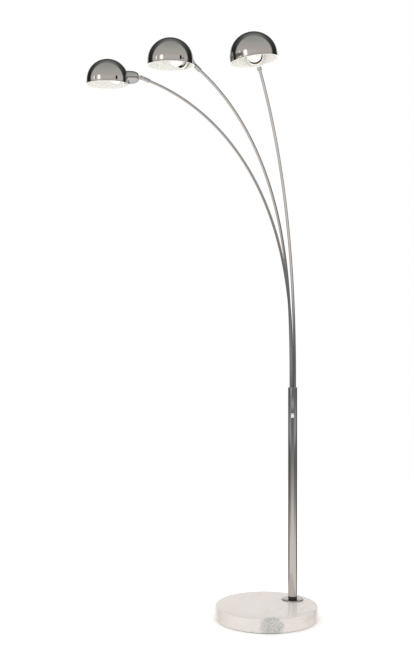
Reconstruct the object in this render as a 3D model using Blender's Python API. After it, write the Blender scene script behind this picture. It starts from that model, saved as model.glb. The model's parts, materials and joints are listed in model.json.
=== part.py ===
"""Arc floor lamp with three swivelling arms: a stone base, a chromed post and three domed shades.

Metres, +Z up. The origin is the centre of the base's underside, on the floor, and the middle arm leans to -X.
"""

import math

import bmesh
import bpy
from mathutils import Matrix, Vector

# ---------------------------------------------------------------- driving dimensions
MM = 0.001
GAP = 0.3 * MM  # clearance between two pieces that touch or run on each other
WELD = 1e-6  # points nearer than this are one
SMALL_EDGE = 0.5 * MM  # chamfer on thin edges

BASE_RADIUS = 175 * MM
BASE_THICKNESS = 45 * MM
BASE_EDGE = 4.5 * MM
BASE_LOWER_EDGE = 2 * MM
FELT_THICKNESS = 2 * MM
FELT_SETBACK = 7 * MM
FELT_HOLE_SETBACK = 1 * MM

POST_OFFSET = 116 * MM  # from the base's centre to the post's axis, along +X
POST_RADIUS = 16 * MM
POST_WALL = 1.5 * MM
POST_TOP = 787 * MM
FLANGE_RADIUS = 38 * MM
FLANGE_THICKNESS = 3 * MM
FLANGE_EDGE = 1 * MM
COLLAR_HEIGHT = 9 * MM
COLLAR_SETBACK = 0.5 * MM

PIPE_RADIUS = 5 * MM  # the hollow threaded pipe that ties the post to the base
PIPE_WALL = 1.5 * MM
PLUG_HEIGHT = 25 * MM
COUNTERBORE_RADIUS = 21 * MM
COUNTERBORE_DEPTH = 30 * MM
WASHER_RADIUS = 18 * MM
WASHER_THICKNESS = 2.5 * MM
NUT_ACROSS_FLATS = 17 * MM
NUT_HEIGHT = 8 * MM
PIPE_BELOW_NUT = 0.6 * MM
PIPE_ABOVE_PLUG = 10 * MM
GROOVE_WIDTH = 9 * MM
GROOVE_HEIGHT = 8 * MM

SUPPLY_LEAD_RADIUS = 2.5 * MM
GROMMET_LENGTH = 9 * MM
GROMMET_LIP = 2 * MM
GROMMET_LIP_WIDTH = 13 * MM
GROMMET_LIP_HEIGHT = 9.5 * MM

HOLDER_CAP = 2 * MM  # the arm holder's rim, which covers the post's end
HOLDER_DEPTH = 60 * MM
STOP_PLATE_THICKNESS = 3 * MM
TERMINAL_RADIUS = 12 * MM
TERMINAL_HEIGHT = 10 * MM
TERMINAL_DROP = 14 * MM  # its underside, below the stop plate
SOCKET_DEPTH = 3 * MM
HOLDER_SCREW_DROP = 26 * MM  # below the post's top
HOLDER_SCREW_RADIUS = 1.7 * MM
HOLDER_SCREW_LENGTH = 9 * MM
HOLDER_SCREW_HEAD_RADIUS = 3.2 * MM
HOLDER_SCREW_HEAD = 1.8 * MM

FOOT_CIRCLE = 8 * MM  # the circle that the three arms stand on
ARM_RADIUS = 4.75 * MM
ARM_WALL = 1 * MM
ARM_POINTS = 18  # along each arm's curve, with as many substeps between them as ARM_SUBSTEPS says
ARM_SUBSTEPS = 12
LEAD_RADIUS = 2.2 * MM
HOLE_SLACK = 0.6 * MM  # the holes that the arms and their leads go through are wider by this
FAN_ANGLE = math.radians(32.5)

# Each arm leaves the post upright and leans over by end_lean, as (share of its length) ** bend.
ARMS = {
    "left": {"fan": -1, "length": 1.241, "end_lean": 67.1, "bend": 1.70, "foot": 60, "yaw": 0, "roll": 0},
    "middle": {"fan": 0, "length": 1.163, "end_lean": 57.0, "bend": 1.88, "foot": 180, "yaw": 17, "roll": 0},
    "right": {"fan": 1, "length": 1.110, "end_lean": 44.0, "bend": 1.30, "foot": 300, "yaw": 13.5, "roll": 8},
}

SLEEVE_RADIUS = 7 * MM
SLEEVE_EDGE = 0.8 * MM
SLEEVE_LENGTH = 32 * MM  # from its mouth to the tilt pivot
ARM_STRAIGHT_END = 12 * MM  # between the arm's curve and the sleeve's mouth
ARM_IN_SLEEVE = 18 * MM
FORK_ROOT = 9 * MM  # from the pivot back to the bottom of the fork's slot
FORK_TIP = 7 * MM
FORK_WIDTH = 12 * MM
TONGUE_THICKNESS = 6 * MM
TONGUE_RADIUS = 7 * MM
SET_SCREW_RADIUS = 1.7 * MM
PIVOT_RADIUS = 2 * MM
PIVOT_HEAD_RADIUS = 3.6 * MM
PIVOT_HEAD = 2.2 * MM
PIVOT_NUT_ACROSS_FLATS = 7 * MM
PIVOT_NUT_HEIGHT = 2.6 * MM

PIVOT_TO_SHADE = 43 * MM  # from the pivot to the dome's rear
CUP_ABOVE_RIM = 4.2 * MM  # the cup's lowest line above the shade's rim
CUP_RADIUS = 22.8 * MM
CUP_WALL = 1.2 * MM
CUP_REAR = 8.8 * MM  # from the pivot to the cup's rear face
CUP_REAR_RADIUS = 9.5 * MM
CUP_SHOULDER = 32 * MM
CUP_STEPS = 4  # round the shoulder
CUP_IN_SHADE = 16.5 * MM  # from the dome's rear to the cup's mouth
SHANK_RADIUS = 5 * MM
SHANK_IN_CUP = 8 * MM
CUP_NUT_ACROSS_FLATS = 15 * MM
CUP_NUT_HEIGHT = 5 * MM

DOME_RADIUS = 73.5 * MM
SKIRT_HEIGHT = 16 * MM
SHADE_WALL = 1.2 * MM
LIP_FLARE = 3.5 * MM  # outside the dome
LIP_HEIGHT = 3 * MM
LIP_UNDERCUT = 2 * MM  # the width of the lip's flat underside inside the shade's wall
RING_WIDTH = 3.4 * MM
RING_LENGTH = 3.5 * MM
RING_SETBACK = 0.8 * MM  # how far the ring starts behind the cup's mouth

BULB_RADIUS = 22.5 * MM
BULB_FROM_CUP = 27 * MM  # from the cup's mouth to the globe's centre
BULB_NECK_RADIUS = 8.5 * MM
BULB_NECK_LENGTH = 31 * MM
BULB_CAP_RADIUS = 6.9 * MM
BULB_CAP_LENGTH = 19 * MM
BULB_CAP_TIP = 3 * MM
HOLDER_RADIUS = 13 * MM
HOLDER_LENGTH = 27 * MM
HOLDER_FLOOR = 3 * MM

SWITCH_DROP = 97 * MM  # its pin, below the post's top
SWITCH_ANGLE = math.radians(229)
BEZEL_WIDTH = 10 * MM
BEZEL_HEIGHT = 15 * MM
BEZEL_THICKNESS = 1.6 * MM
HOUSING_WIDTH = 8 * MM
HOUSING_HEIGHT = 13 * MM
HOUSING_DEPTH = 11 * MM
POCKET_WIDTH = 6.6 * MM
POCKET_HEIGHT = 11.4 * MM
POCKET_DEPTH = 8 * MM
ROCKER_HALF = 4.7 * MM
ROCKER_FRONT = 4.2 * MM
ROCKER_CREASE = 3.3 * MM
ROCKER_BACK = 3 * MM
ROCKER_TILT = math.radians(10)
ROCKER_PIVOT_DEPTH = 2.4 * MM  # behind the bezel's front

# ---------------------------------------------------------------- worked out from them
BASE_BOTTOM = FELT_THICKNESS + GAP
BASE_TOP = BASE_BOTTOM + BASE_THICKNESS
FLANGE_BOTTOM = BASE_TOP + GAP
COLLAR_BOTTOM = FLANGE_BOTTOM + FLANGE_THICKNESS + GAP
POST_BOTTOM = COLLAR_BOTTOM + COLLAR_HEIGHT + GAP
SWITCH_HEIGHT = POST_TOP - SWITCH_DROP
POST_END = POST_TOP - HOLDER_CAP - GAP
POST_BORE = POST_RADIUS - POST_WALL
INSERT_RADIUS = POST_BORE - GAP
PIPE_HOLE = PIPE_RADIUS + GAP
COUNTERBORE_TOP = BASE_BOTTOM + COUNTERBORE_DEPTH
WASHER_TOP = COUNTERBORE_TOP - GAP
NUT_TOP = WASHER_TOP - WASHER_THICKNESS - GAP
PIPE_BOTTOM = NUT_TOP - NUT_HEIGHT - PIPE_BELOW_NUT
HOLDER_BOTTOM = POST_TOP - HOLDER_DEPTH
STOP_PLATE_TOP = HOLDER_BOTTOM - GAP
STOP_PLATE_BOTTOM = STOP_PLATE_TOP - STOP_PLATE_THICKNESS
TERMINAL_BOTTOM = STOP_PLATE_BOTTOM - TERMINAL_DROP
TERMINAL_TOP = TERMINAL_BOTTOM + TERMINAL_HEIGHT
LEAD_BOTTOM = TERMINAL_TOP - SOCKET_DEPTH + GAP
POST_AXIS = Vector((POST_OFFSET, 0, 0))
PIVOT_TO_DOME = PIVOT_TO_SHADE + DOME_RADIUS
CUP_HEIGHT = CUP_ABOVE_RIM + CUP_RADIUS
CUP_MOUTH = PIVOT_TO_SHADE + CUP_IN_SHADE
BULB_CENTRE = CUP_MOUTH + BULB_FROM_CUP
RING_RADIUS = CUP_RADIUS + GAP + RING_WIDTH
LIP_RADIUS = DOME_RADIUS + LIP_FLARE
DOME_TO_PIVOT = Matrix.Translation((PIVOT_TO_DOME, 0, -CUP_HEIGHT))


# ---------------------------------------------------------------- scene, materials and bodies
for old in list(bpy.data.objects):
    bpy.data.objects.remove(old, do_unlink=True)


def material(name, colour, roughness, metallic=0.0, alpha=1.0):
    made = bpy.data.materials.new(name)
    made.use_nodes = True
    shader = made.node_tree.nodes["Principled BSDF"]
    shader.inputs["Base Color"].default_value = (*colour, 1)
    shader.inputs["Roughness"].default_value = roughness
    shader.inputs["Metallic"].default_value = metallic
    shader.inputs["Alpha"].default_value = alpha
    made.diffuse_color = (*colour, alpha)
    return made


FINISHES = {
    "marble": ((0.74, 0.70, 0.66), 0.25),
    "felt": ((0.05, 0.05, 0.05), 0.95),
    "chrome": ((0.80, 0.80, 0.80), 0.08, 1.0),
    "steel": ((0.55, 0.55, 0.56), 0.35, 1.0),
    "brass": ((0.75, 0.60, 0.28), 0.3, 1.0),
    "black_plastic": ((0.04, 0.04, 0.04), 0.5),
    "white_plastic": ((0.85, 0.85, 0.83), 0.4),
    "porcelain": ((0.85, 0.84, 0.80), 0.3),
    "opal_glass": ((0.95, 0.93, 0.86), 0.25),
    "cable": ((0.75, 0.74, 0.70), 0.6),
    "rubber": ((0.05, 0.05, 0.05), 0.8),
}


def body(name, matrix, parent=None):
    """An empty on a moving body's joint axis, which the body's pieces are parented to."""
    empty = bpy.data.objects.new(name, None)
    empty.empty_display_size = 0.02
    bpy.context.collection.objects.link(empty)
    empty.parent = parent
    empty.matrix_world = matrix
    bpy.context.view_layer.update()
    return empty


def place(obj, finish, parent, matrix):
    bpy.context.collection.objects.link(obj)
    obj.data.materials.append(material(obj.name, *FINISHES[finish]))
    obj.parent = parent
    obj.matrix_local = matrix
    return obj


def piece(name, mesh_maker, finish, parent=None, matrix=Matrix(), smooth=True):
    """One solid made by mesh_maker(bm), placed in its parent's frame."""
    bm = bmesh.new()
    mesh_maker(bm)
    bmesh.ops.remove_doubles(bm, verts=bm.verts, dist=WELD)
    bmesh.ops.recalc_face_normals(bm, faces=bm.faces)
    mesh = bpy.data.meshes.new(name)
    bm.to_mesh(mesh)
    bm.free()
    if smooth:
        mesh.shade_smooth()
        mesh.set_sharp_from_angle(angle=math.radians(35))
    return place(bpy.data.objects.new(name, mesh), finish, parent, matrix)


def cut(target, name, mesh_maker, matrix=Matrix(), operation="DIFFERENCE"):
    """Cuts target with a hidden solid, given in the frame target is placed in. Returns that solid."""
    bm = bmesh.new()
    mesh_maker(bm)
    bmesh.ops.recalc_face_normals(bm, faces=bm.faces)
    mesh = bpy.data.meshes.new(name)
    bm.to_mesh(mesh)
    bm.free()
    cutter = bpy.data.objects.new(name, mesh)
    bpy.context.collection.objects.link(cutter)
    cutter.parent = target.parent
    cutter.matrix_local = matrix
    cutter.hide_render = True
    cutter.display_type = "WIRE"
    boolean = target.modifiers.new(name, "BOOLEAN")
    boolean.operation = operation
    boolean.solver = "EXACT"
    boolean.object = cutter
    return cutter


# ---------------------------------------------------------------- shapes
def turned(outline, steps):
    """A solid of revolution about Z. Its outline runs from axis to axis, or is a loop clear of the axis."""

    def make(bm):
        verts = [bm.verts.new((r, 0, z)) for r, z in outline]
        edges = [bm.edges.new(pair) for pair in zip(verts, verts[1:])]
        if outline[0][0] > 0:
            edges.append(bm.edges.new((verts[-1], verts[0])))
        bmesh.ops.spin(
            bm, geom=verts + edges, cent=(0, 0, 0), axis=(0, 0, 1), angle=math.tau, steps=steps, use_merge=True
        )
        bmesh.ops.remove_doubles(bm, verts=bm.verts, dist=WELD)
        # A flat end is one face, so that a cut through it leaves no slivers at its middle.
        bm.normal_update()
        on_axis = [v for v in bm.verts if v.co.xy.length < WELD]
        middles = [v for v in on_axis if all(abs(f.normal.z) > 0.999 for f in v.link_faces)]
        bmesh.ops.dissolve_verts(bm, verts=middles)

    return make


def ring(outer, inner, low, high, steps=28):
    return turned([(outer, low), (outer, high), (inner, high), (inner, low)], steps)


def disc(radius, low, high, steps=32):
    return turned([(0, low), (radius, low), (radius, high), (0, high)], steps)


def block(low, high):
    """A box between two corners."""

    def make(bm):
        size = [b - a for a, b in zip(low, high)]
        centre = [(a + b) / 2 for a, b in zip(low, high)]
        bmesh.ops.create_cube(bm, size=1, matrix=Matrix.Translation(centre) @ Matrix.Diagonal((*size, 1)))

    return make


def hex_nut(across_flats, bore, low, high):
    """A hexagon nut about Z, with as many points round its bore as round its sides."""
    sides = 6
    steps = 2 * sides

    def make(bm):
        rings = []
        for hexagon, z in ((True, low), (True, high), (False, high), (False, low)):
            row = []
            for k in range(steps):
                turn = math.tau * k / steps
                from_flat = (turn % (math.tau / sides)) - math.tau / steps
                radius = across_flats / 2 / math.cos(from_flat) if hexagon else bore
                row.append(bm.verts.new((radius * math.cos(turn), radius * math.sin(turn), z)))
            rings.append(row)
        for row, following in zip(rings, rings[1:] + rings[:1]):
            for k in range(steps):
                after = (k + 1) % steps
                bm.faces.new((row[k], row[after], following[after], following[k]))

    return make


def arc(centre, radius, start, end, count):
    """Points on an arc in an outline's plane, in degrees from the first axis."""
    angles = [math.radians(start + (end - start) * k / count) for k in range(count + 1)]
    return [(centre[0] + radius * math.cos(a), centre[1] + radius * math.sin(a)) for a in angles]


def extruded(outline, half_width):
    """An outline in the XZ plane, extruded both ways along Y."""

    def make(bm):
        face = bm.faces.new([bm.verts.new((x, -half_width, z)) for x, z in outline])
        grown = bmesh.ops.extrude_face_region(bm, geom=[face])["geom"]
        top = [v for v in grown if isinstance(v, bmesh.types.BMVert)]
        bmesh.ops.translate(bm, verts=top, vec=(0, 2 * half_width, 0))

    return make


def lead(name, points, radius, finish, resolution, parent=None, wall=0.0):
    """A round bar along points, or a hollow tube when it has a wall."""
    curve = bpy.data.curves.new(name, "CURVE")
    curve.dimensions = "3D"
    curve.bevel_depth = radius
    curve.bevel_resolution = resolution
    curve.use_fill_caps = not wall
    curve.twist_mode = "MINIMUM"
    spline = curve.splines.new("POLY")
    spline.points.add(len(points) - 1)
    for point, place_at in zip(spline.points, points):
        point.co = (*place_at, 1)
    obj = place(bpy.data.objects.new(name, curve), finish, parent, Matrix())
    if wall:
        solidify = obj.modifiers.new("wall", "SOLIDIFY")
        solidify.thickness = wall
        solidify.offset = -1
    return obj


X_AXIS = Matrix.Rotation(math.pi / 2, 4, "Y")  # turns a shape about Z into one about X
Y_AXIS = Matrix.Rotation(-math.pi / 2, 4, "X")  # turns a shape about Z into one about Y


# ---------------------------------------------------------------- base
def make_base():
    post = Matrix.Translation(POST_AXIS)
    inside = BASE_RADIUS - BASE_LOWER_EDGE
    outline = [(0, BASE_BOTTOM), (inside, BASE_BOTTOM), (BASE_RADIUS, BASE_BOTTOM + BASE_LOWER_EDGE)]
    outline += arc((BASE_RADIUS - BASE_EDGE, BASE_TOP - BASE_EDGE), BASE_EDGE, 0, 90, 3)
    outline += [(0, BASE_TOP)]
    stone = piece("marble_base", turned(outline, 56), "marble")
    groove = (
        (POST_OFFSET, -GROOVE_WIDTH / 2, BASE_BOTTOM - MM),
        (BASE_RADIUS + MM, GROOVE_WIDTH / 2, BASE_BOTTOM + GROOVE_HEIGHT),
    )
    cut(stone, "cut_pipe_hole", disc(PIPE_HOLE + GAP, 0, BASE_TOP + MM, 24), post)
    cut(stone, "cut_counterbore", disc(COUNTERBORE_RADIUS, 0, COUNTERBORE_TOP, 32), post)
    cut(stone, "cut_cable_groove", block(*groove))

    felt = piece("base_felt", disc(BASE_RADIUS - FELT_SETBACK, 0, FELT_THICKNESS, 40), "felt")
    felt_hole = disc(COUNTERBORE_RADIUS + FELT_HOLE_SETBACK, -MM, FELT_THICKNESS + MM, 32)
    cut(felt, "cut_felt_hole", felt_hole, post)

    washer_bottom = WASHER_TOP - WASHER_THICKNESS
    piece("base_washer", ring(WASHER_RADIUS, PIPE_HOLE, washer_bottom, WASHER_TOP, 24), "steel", None, post)
    nut = hex_nut(NUT_ACROSS_FLATS, PIPE_HOLE, NUT_TOP - NUT_HEIGHT, NUT_TOP)
    piece("base_nut", nut, "brass", None, post, smooth=False)
    make_grommet()


def make_grommet():
    """The bush in the groove's mouth that the supply cord leaves through."""
    middle = BASE_BOTTOM + GROOVE_HEIGHT / 2
    half = GROOVE_WIDTH / 2 - GAP
    outer = BASE_RADIUS + GAP
    body_low = (outer - GROMMET_LENGTH, -half, BASE_BOTTOM + GAP)
    body_high = (outer + GROMMET_LIP / 2, half, BASE_BOTTOM + GROOVE_HEIGHT - GAP)
    lip_low = (outer, -GROMMET_LIP_WIDTH / 2, middle - GROMMET_LIP_HEIGHT / 2)
    lip_high = (outer + GROMMET_LIP, GROMMET_LIP_WIDTH / 2, middle + GROMMET_LIP_HEIGHT / 2)
    grommet = piece("cord_grommet", block(body_low, body_high), "rubber", smooth=False)
    cut(grommet, "join_grommet_lip", block(lip_low, lip_high), operation="UNION")
    bore = Matrix.Translation((0, 0, middle)) @ X_AXIS
    reach = outer + 2 * GROMMET_LIP
    cut(grommet, "cut_grommet_bore", disc(SUPPLY_LEAD_RADIUS + GAP, POST_OFFSET, reach, 16), bore)


# ---------------------------------------------------------------- post
def foot_place(arm):
    """The axis that an arm stands on, in plan."""
    turn = math.radians(arm["foot"])
    return POST_AXIS + FOOT_CIRCLE * Vector((math.cos(turn), math.sin(turn), 0))


def make_post():
    post = Matrix.Translation(POST_AXIS)
    flange_top = FLANGE_BOTTOM + FLANGE_THICKNESS
    flange = [(PIPE_HOLE, FLANGE_BOTTOM), (FLANGE_RADIUS, FLANGE_BOTTOM)]
    flange += [(FLANGE_RADIUS, flange_top - FLANGE_EDGE), (FLANGE_RADIUS - FLANGE_EDGE, flange_top)]
    flange += [(PIPE_HOLE, flange_top)]
    piece("foot_flange", turned(flange, 40), "chrome", None, post)
    collar = ring(POST_RADIUS - COLLAR_SETBACK, PIPE_HOLE, COLLAR_BOTTOM, COLLAR_BOTTOM + COLLAR_HEIGHT)
    piece("foot_collar", collar, "black_plastic", None, post)

    tube = piece("post_tube", ring(POST_RADIUS, POST_BORE, POST_BOTTOM, POST_END), "chrome", None, post)
    switch_place = POST_AXIS + Vector((0, 0, SWITCH_HEIGHT))
    switch = Matrix.Translation(switch_place) @ Matrix.Rotation(SWITCH_ANGLE, 4, "Z")
    half_width = HOUSING_WIDTH / 2 + GAP
    half_height = HOUSING_HEIGHT / 2 + GAP
    opening = block((POST_BORE / 2, -half_width, -half_height), (2 * POST_RADIUS, half_width, half_height))
    cut(tube, "cut_switch_window", opening, switch)

    plug_top = POST_BOTTOM + PLUG_HEIGHT
    piece("post_plug", ring(INSERT_RADIUS, PIPE_HOLE, POST_BOTTOM, plug_top, 24), "steel", None, post)
    pipe_top = plug_top + PIPE_ABOVE_PLUG
    pipe = ring(PIPE_RADIUS, PIPE_RADIUS - PIPE_WALL, PIPE_BOTTOM, pipe_top, 16)
    piece("threaded_pipe", pipe, "steel", None, post)

    outline = [(0, HOLDER_BOTTOM), (INSERT_RADIUS, HOLDER_BOTTOM), (INSERT_RADIUS, POST_TOP - HOLDER_CAP)]
    outline += [(POST_RADIUS, POST_TOP - HOLDER_CAP), (POST_RADIUS, POST_TOP - SMALL_EDGE)]
    outline += [(POST_RADIUS - SMALL_EDGE, POST_TOP), (0, POST_TOP)]
    holder = piece("arm_holder", turned(outline, 32), "chrome", None, post)
    plate = disc(INSERT_RADIUS, STOP_PLATE_BOTTOM, STOP_PLATE_TOP)
    stop = piece("arm_stop_plate", plate, "steel", None, post)
    terminal_shape = disc(TERMINAL_RADIUS, TERMINAL_BOTTOM, TERMINAL_TOP, 24)
    terminal = piece("terminal_block", terminal_shape, "porcelain", None, post)
    for name, arm in ARMS.items():
        foot = Matrix.Translation(foot_place(arm))
        bore = disc(ARM_RADIUS + HOLE_SLACK, HOLDER_BOTTOM - MM, POST_TOP + MM, 16)
        cut(holder, "cut_holder_bore_" + name, bore, foot)
        hole = disc(LEAD_RADIUS + HOLE_SLACK, STOP_PLATE_BOTTOM - MM, STOP_PLATE_TOP + MM, 12)
        cut(stop, "cut_stop_hole_" + name, hole, foot)
        socket = disc(LEAD_RADIUS + GAP, TERMINAL_TOP - SOCKET_DEPTH, TERMINAL_TOP + MM, 12)
        cut(terminal, "cut_socket_" + name, socket, foot)

    # The screw that holds the arm holder comes in from the side away from the arms.
    screw_axis = Matrix.Translation((POST_OFFSET, 0, POST_TOP - HOLDER_SCREW_DROP)) @ X_AXIS
    seat = POST_RADIUS + GAP
    screw = [
        (0, seat - HOLDER_SCREW_LENGTH),
        (HOLDER_SCREW_RADIUS, seat - HOLDER_SCREW_LENGTH),
        (HOLDER_SCREW_RADIUS, seat),
        (HOLDER_SCREW_HEAD_RADIUS, seat),
        (HOLDER_SCREW_HEAD_RADIUS - MM, seat + HOLDER_SCREW_HEAD),
        (0, seat + HOLDER_SCREW_HEAD),
    ]
    piece("holder_screw", turned(screw, 16), "chrome", None, screw_axis)
    screw_hole = disc(HOLDER_SCREW_RADIUS + GAP, seat - HOLDER_SCREW_LENGTH - GAP, 2 * POST_RADIUS, 16)
    cut(tube, "cut_tube_screw_hole", screw_hole, screw_axis)
    cut(holder, "cut_holder_screw_hole", screw_hole, screw_axis)
    make_switch(switch)
    make_supply_lead()


def make_switch(frame):
    """The small rocker switch. In its frame +X points out of the post and the rocker tilts about Y."""
    back = POST_RADIUS + GAP
    front = back + BEZEL_THICKNESS
    housing = block(
        (back - HOUSING_DEPTH, -HOUSING_WIDTH / 2, -HOUSING_HEIGHT / 2),
        (back + BEZEL_THICKNESS / 2, HOUSING_WIDTH / 2, HOUSING_HEIGHT / 2),
    )
    frame_plate = block((back, -BEZEL_WIDTH / 2, -BEZEL_HEIGHT / 2), (front, BEZEL_WIDTH / 2, BEZEL_HEIGHT / 2))
    pocket = block(
        (front - POCKET_DEPTH, -POCKET_WIDTH / 2, -POCKET_HEIGHT / 2),
        (front + MM, POCKET_WIDTH / 2, POCKET_HEIGHT / 2),
    )
    bezel = piece("switch_bezel", housing, "white_plastic", None, frame, smooth=False)
    cut(bezel, "join_switch_plate", frame_plate, frame, "UNION")
    cut(bezel, "cut_switch_pocket", pocket, frame)

    pivot = frame @ Matrix.Translation((front - ROCKER_PIVOT_DEPTH, 0, 0))
    rocker_body = body("rocker_pivot", pivot)
    outline = [
        (ROCKER_CREASE, 0),
        (ROCKER_FRONT, ROCKER_HALF),
        (-ROCKER_BACK / 2, ROCKER_HALF),
        (-ROCKER_BACK, 0),
        (-ROCKER_BACK / 2, -ROCKER_HALF),
        (ROCKER_FRONT, -ROCKER_HALF),
    ]
    turn = Matrix.Rotation(ROCKER_TILT, 4, "Y")
    shape = extruded(outline, POCKET_WIDTH / 2 - GAP)
    piece("switch_rocker", shape, "white_plastic", rocker_body, turn, smooth=False)


def make_supply_lead():
    """From the terminal block down the post, round a bend under the base and out to the grommet."""
    run = BASE_BOTTOM + GROOVE_HEIGHT / 2
    bend = PIPE_BOTTOM - run
    points = [(POST_OFFSET, 0, TERMINAL_BOTTOM - GAP), (POST_OFFSET, 0, PIPE_BOTTOM + MM)]
    points += [(POST_OFFSET + bend - u, 0, run + bend - v) for u, v in arc((0, 0), bend, 0, 90, 6)]
    points += [(BASE_RADIUS - GAP, 0, run)]
    lead("supply_lead", points, SUPPLY_LEAD_RADIUS, "cable", 2)


# ---------------------------------------------------------------- arms
def outward(arm, turn=0.0):
    """The level direction that an arm leans in, turned by a further angle seen from above."""
    angle = math.pi + arm["fan"] * FAN_ANGLE + turn
    return Vector((math.cos(angle), math.sin(angle), 0))


def arm_path(arm):
    """Points up one arm: its foot, its curve and the straight end inside the sleeve."""
    level = outward(arm)
    end_lean = math.radians(arm["end_lean"])
    steps = ARM_POINTS * ARM_SUBSTEPS
    step = arm["length"] / steps
    spot = foot_place(arm) + Vector((0, 0, POST_TOP))
    points = [foot_place(arm) + Vector((0, 0, HOLDER_BOTTOM)), spot.copy()]
    for k in range(steps):
        lean = end_lean * ((k + 0.5) / steps) ** arm["bend"]
        spot += step * (math.sin(lean) * level + math.cos(lean) * Vector((0, 0, 1)))
        if (k + 1) % ARM_SUBSTEPS == 0:
            points.append(spot.copy())
    along = math.sin(end_lean) * level + math.cos(end_lean) * Vector((0, 0, 1))
    points.append(spot + (ARM_STRAIGHT_END + ARM_IN_SLEEVE) * along)
    return points, along


def frame_of(origin, x_axis, y_axis):
    """The matrix of a frame at origin whose X and Y are the two given unit vectors."""
    z_axis = x_axis.cross(y_axis)
    turn = Matrix((x_axis, y_axis, z_axis)).transposed().to_4x4()
    return Matrix.Translation(origin) @ turn


def make_arm(name, arm):
    points, along = arm_path(arm)
    foot = points[1]
    swivel = body("arm_pivot_" + name, Matrix.Translation(foot))
    local = [p - foot for p in points]
    lead("arm_tube_" + name, local, ARM_RADIUS, "chrome", 2, swivel, ARM_WALL)
    inner = [Vector((0, 0, LEAD_BOTTOM - POST_TOP))] + local[1:-1] + [local[-1] - MM * along]
    lead("arm_lead_" + name, inner, LEAD_RADIUS, "cable", 1, swivel)

    pivot = points[-1] + (SLEEVE_LENGTH - ARM_IN_SLEEVE) * along
    facing = outward(arm, math.radians(arm["yaw"]))
    hinge = along.cross(facing).normalized()
    make_sleeve(name, frame_of(pivot, along, hinge))
    make_head(name, pivot, facing, hinge, math.radians(arm["roll"]))


def make_sleeve(name, frame):
    """The forked sleeve that turns on the arm's end. In its frame +X runs up the arm and Y is the tilt pin."""
    sleeve_body = body("sleeve_pivot_" + name, frame)
    mouth = -SLEEVE_LENGTH
    bore = ARM_RADIUS + GAP
    floor = mouth + ARM_IN_SLEEVE + MM
    outline = [(0, floor), (bore, floor), (bore, mouth), (SLEEVE_RADIUS - SLEEVE_EDGE, mouth)]
    outline += [(SLEEVE_RADIUS, mouth + SLEEVE_EDGE), (SLEEVE_RADIUS, FORK_TIP), (0, FORK_TIP)]
    sleeve = piece("swivel_sleeve_" + name, turned(outline, 16), "chrome", sleeve_body, X_AXIS)

    wide = 2 * SLEEVE_RADIUS  # how far the cutters reach past the sleeve
    half_slot = TONGUE_THICKNESS / 2 + GAP
    cheek = FORK_WIDTH / 2
    cut(sleeve, "cut_slot_" + name, block((-FORK_ROOT, -half_slot, -wide), (wide, half_slot, wide)))
    cut(sleeve, "cut_left_flat_" + name, block((-FORK_ROOT, cheek, -wide), (wide, wide, wide)))
    cut(sleeve, "cut_right_flat_" + name, block((-FORK_ROOT, -wide, -wide), (wide, -cheek, wide)))
    # The fork's nose is rounded about the tilt pin by the front half of a hollow cylinder.
    nose = cut(sleeve, "cut_nose_" + name, ring(1.5 * wide, FORK_TIP, -wide, wide, 20), Y_AXIS)
    front_half = block((0, -wide, -2 * wide), (2 * wide, wide, 2 * wide))
    cut(nose, "keep_nose_" + name, front_half, operation="INTERSECT")
    cut(sleeve, "cut_pin_hole_" + name, disc(PIVOT_RADIUS + GAP / 2, -FORK_WIDTH, FORK_WIDTH, 16), Y_AXIS)

    screw_place = Matrix.Translation((mouth + ARM_IN_SLEEVE / 2, 0, 0)) @ Matrix.Rotation(math.pi, 4, "X")
    screw = disc(SET_SCREW_RADIUS, bore, SLEEVE_RADIUS - GAP, 12)
    piece("sleeve_screw_" + name, screw, "steel", sleeve_body, screw_place)
    cut(sleeve, "cut_screw_hole_" + name, disc(SET_SCREW_RADIUS + GAP / 2, bore / 2, wide, 12), screw_place)
    make_pivot_screw(name, sleeve_body)


def make_pivot_screw(name, sleeve_body):
    seat = FORK_WIDTH / 2 + GAP
    end = seat + PIVOT_NUT_HEIGHT + MM
    outline = [(0, -end), (PIVOT_RADIUS, -end), (PIVOT_RADIUS, seat), (PIVOT_HEAD_RADIUS, seat)]
    outline += [(PIVOT_HEAD_RADIUS, seat + PIVOT_HEAD / 2), (PIVOT_HEAD_RADIUS - MM, seat + PIVOT_HEAD)]
    outline += [(0, seat + PIVOT_HEAD)]
    piece("pivot_screw_" + name, turned(outline, 16), "chrome", sleeve_body, Y_AXIS)
    nut = hex_nut(PIVOT_NUT_ACROSS_FLATS, PIVOT_RADIUS + GAP / 2, -seat - PIVOT_NUT_HEIGHT, -seat)
    piece("pivot_nut_" + name, nut, "chrome", sleeve_body, Y_AXIS, smooth=False)


# ---------------------------------------------------------------- heads
def make_head(name, pivot, facing, hinge, roll):
    """Everything that tilts. In its frame +X points from the pivot to the shade and Z is the shade's up."""
    side = Vector((0, 0, 1)).cross(facing)
    head = body("head_pivot_" + name, frame_of(pivot, facing, side) @ Matrix.Rotation(roll, 4, "X"))
    make_tongue(name, head, head.matrix_world.inverted() @ frame_of(pivot, facing, hinge))
    make_cup(name, head)
    make_shade(name, head)
    make_bulb(name, head)


def make_tongue(name, head, frame):
    """The flat tongue between the fork's cheeks, and the round shank that goes through the cup's rear."""
    half = TONGUE_THICKNESS / 2
    shank_start = CUP_REAR - GAP
    outline = arc((0, 0), TONGUE_RADIUS, 90, 270, 10)
    outline += [(shank_start, -TONGUE_RADIUS), (shank_start, TONGUE_RADIUS)]
    tongue = piece("knuckle_tongue_" + name, extruded(outline, half), "chrome", head, frame)
    shank = disc(SHANK_RADIUS, shank_start - MM, CUP_REAR + CUP_WALL + SHANK_IN_CUP, 12)
    cut(tongue, "join_shank_" + name, shank, frame @ X_AXIS, "UNION")
    cut(tongue, "cut_eye_" + name, disc(PIVOT_RADIUS + GAP, -FORK_WIDTH, FORK_WIDTH, 16), frame @ Y_AXIS)


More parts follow.
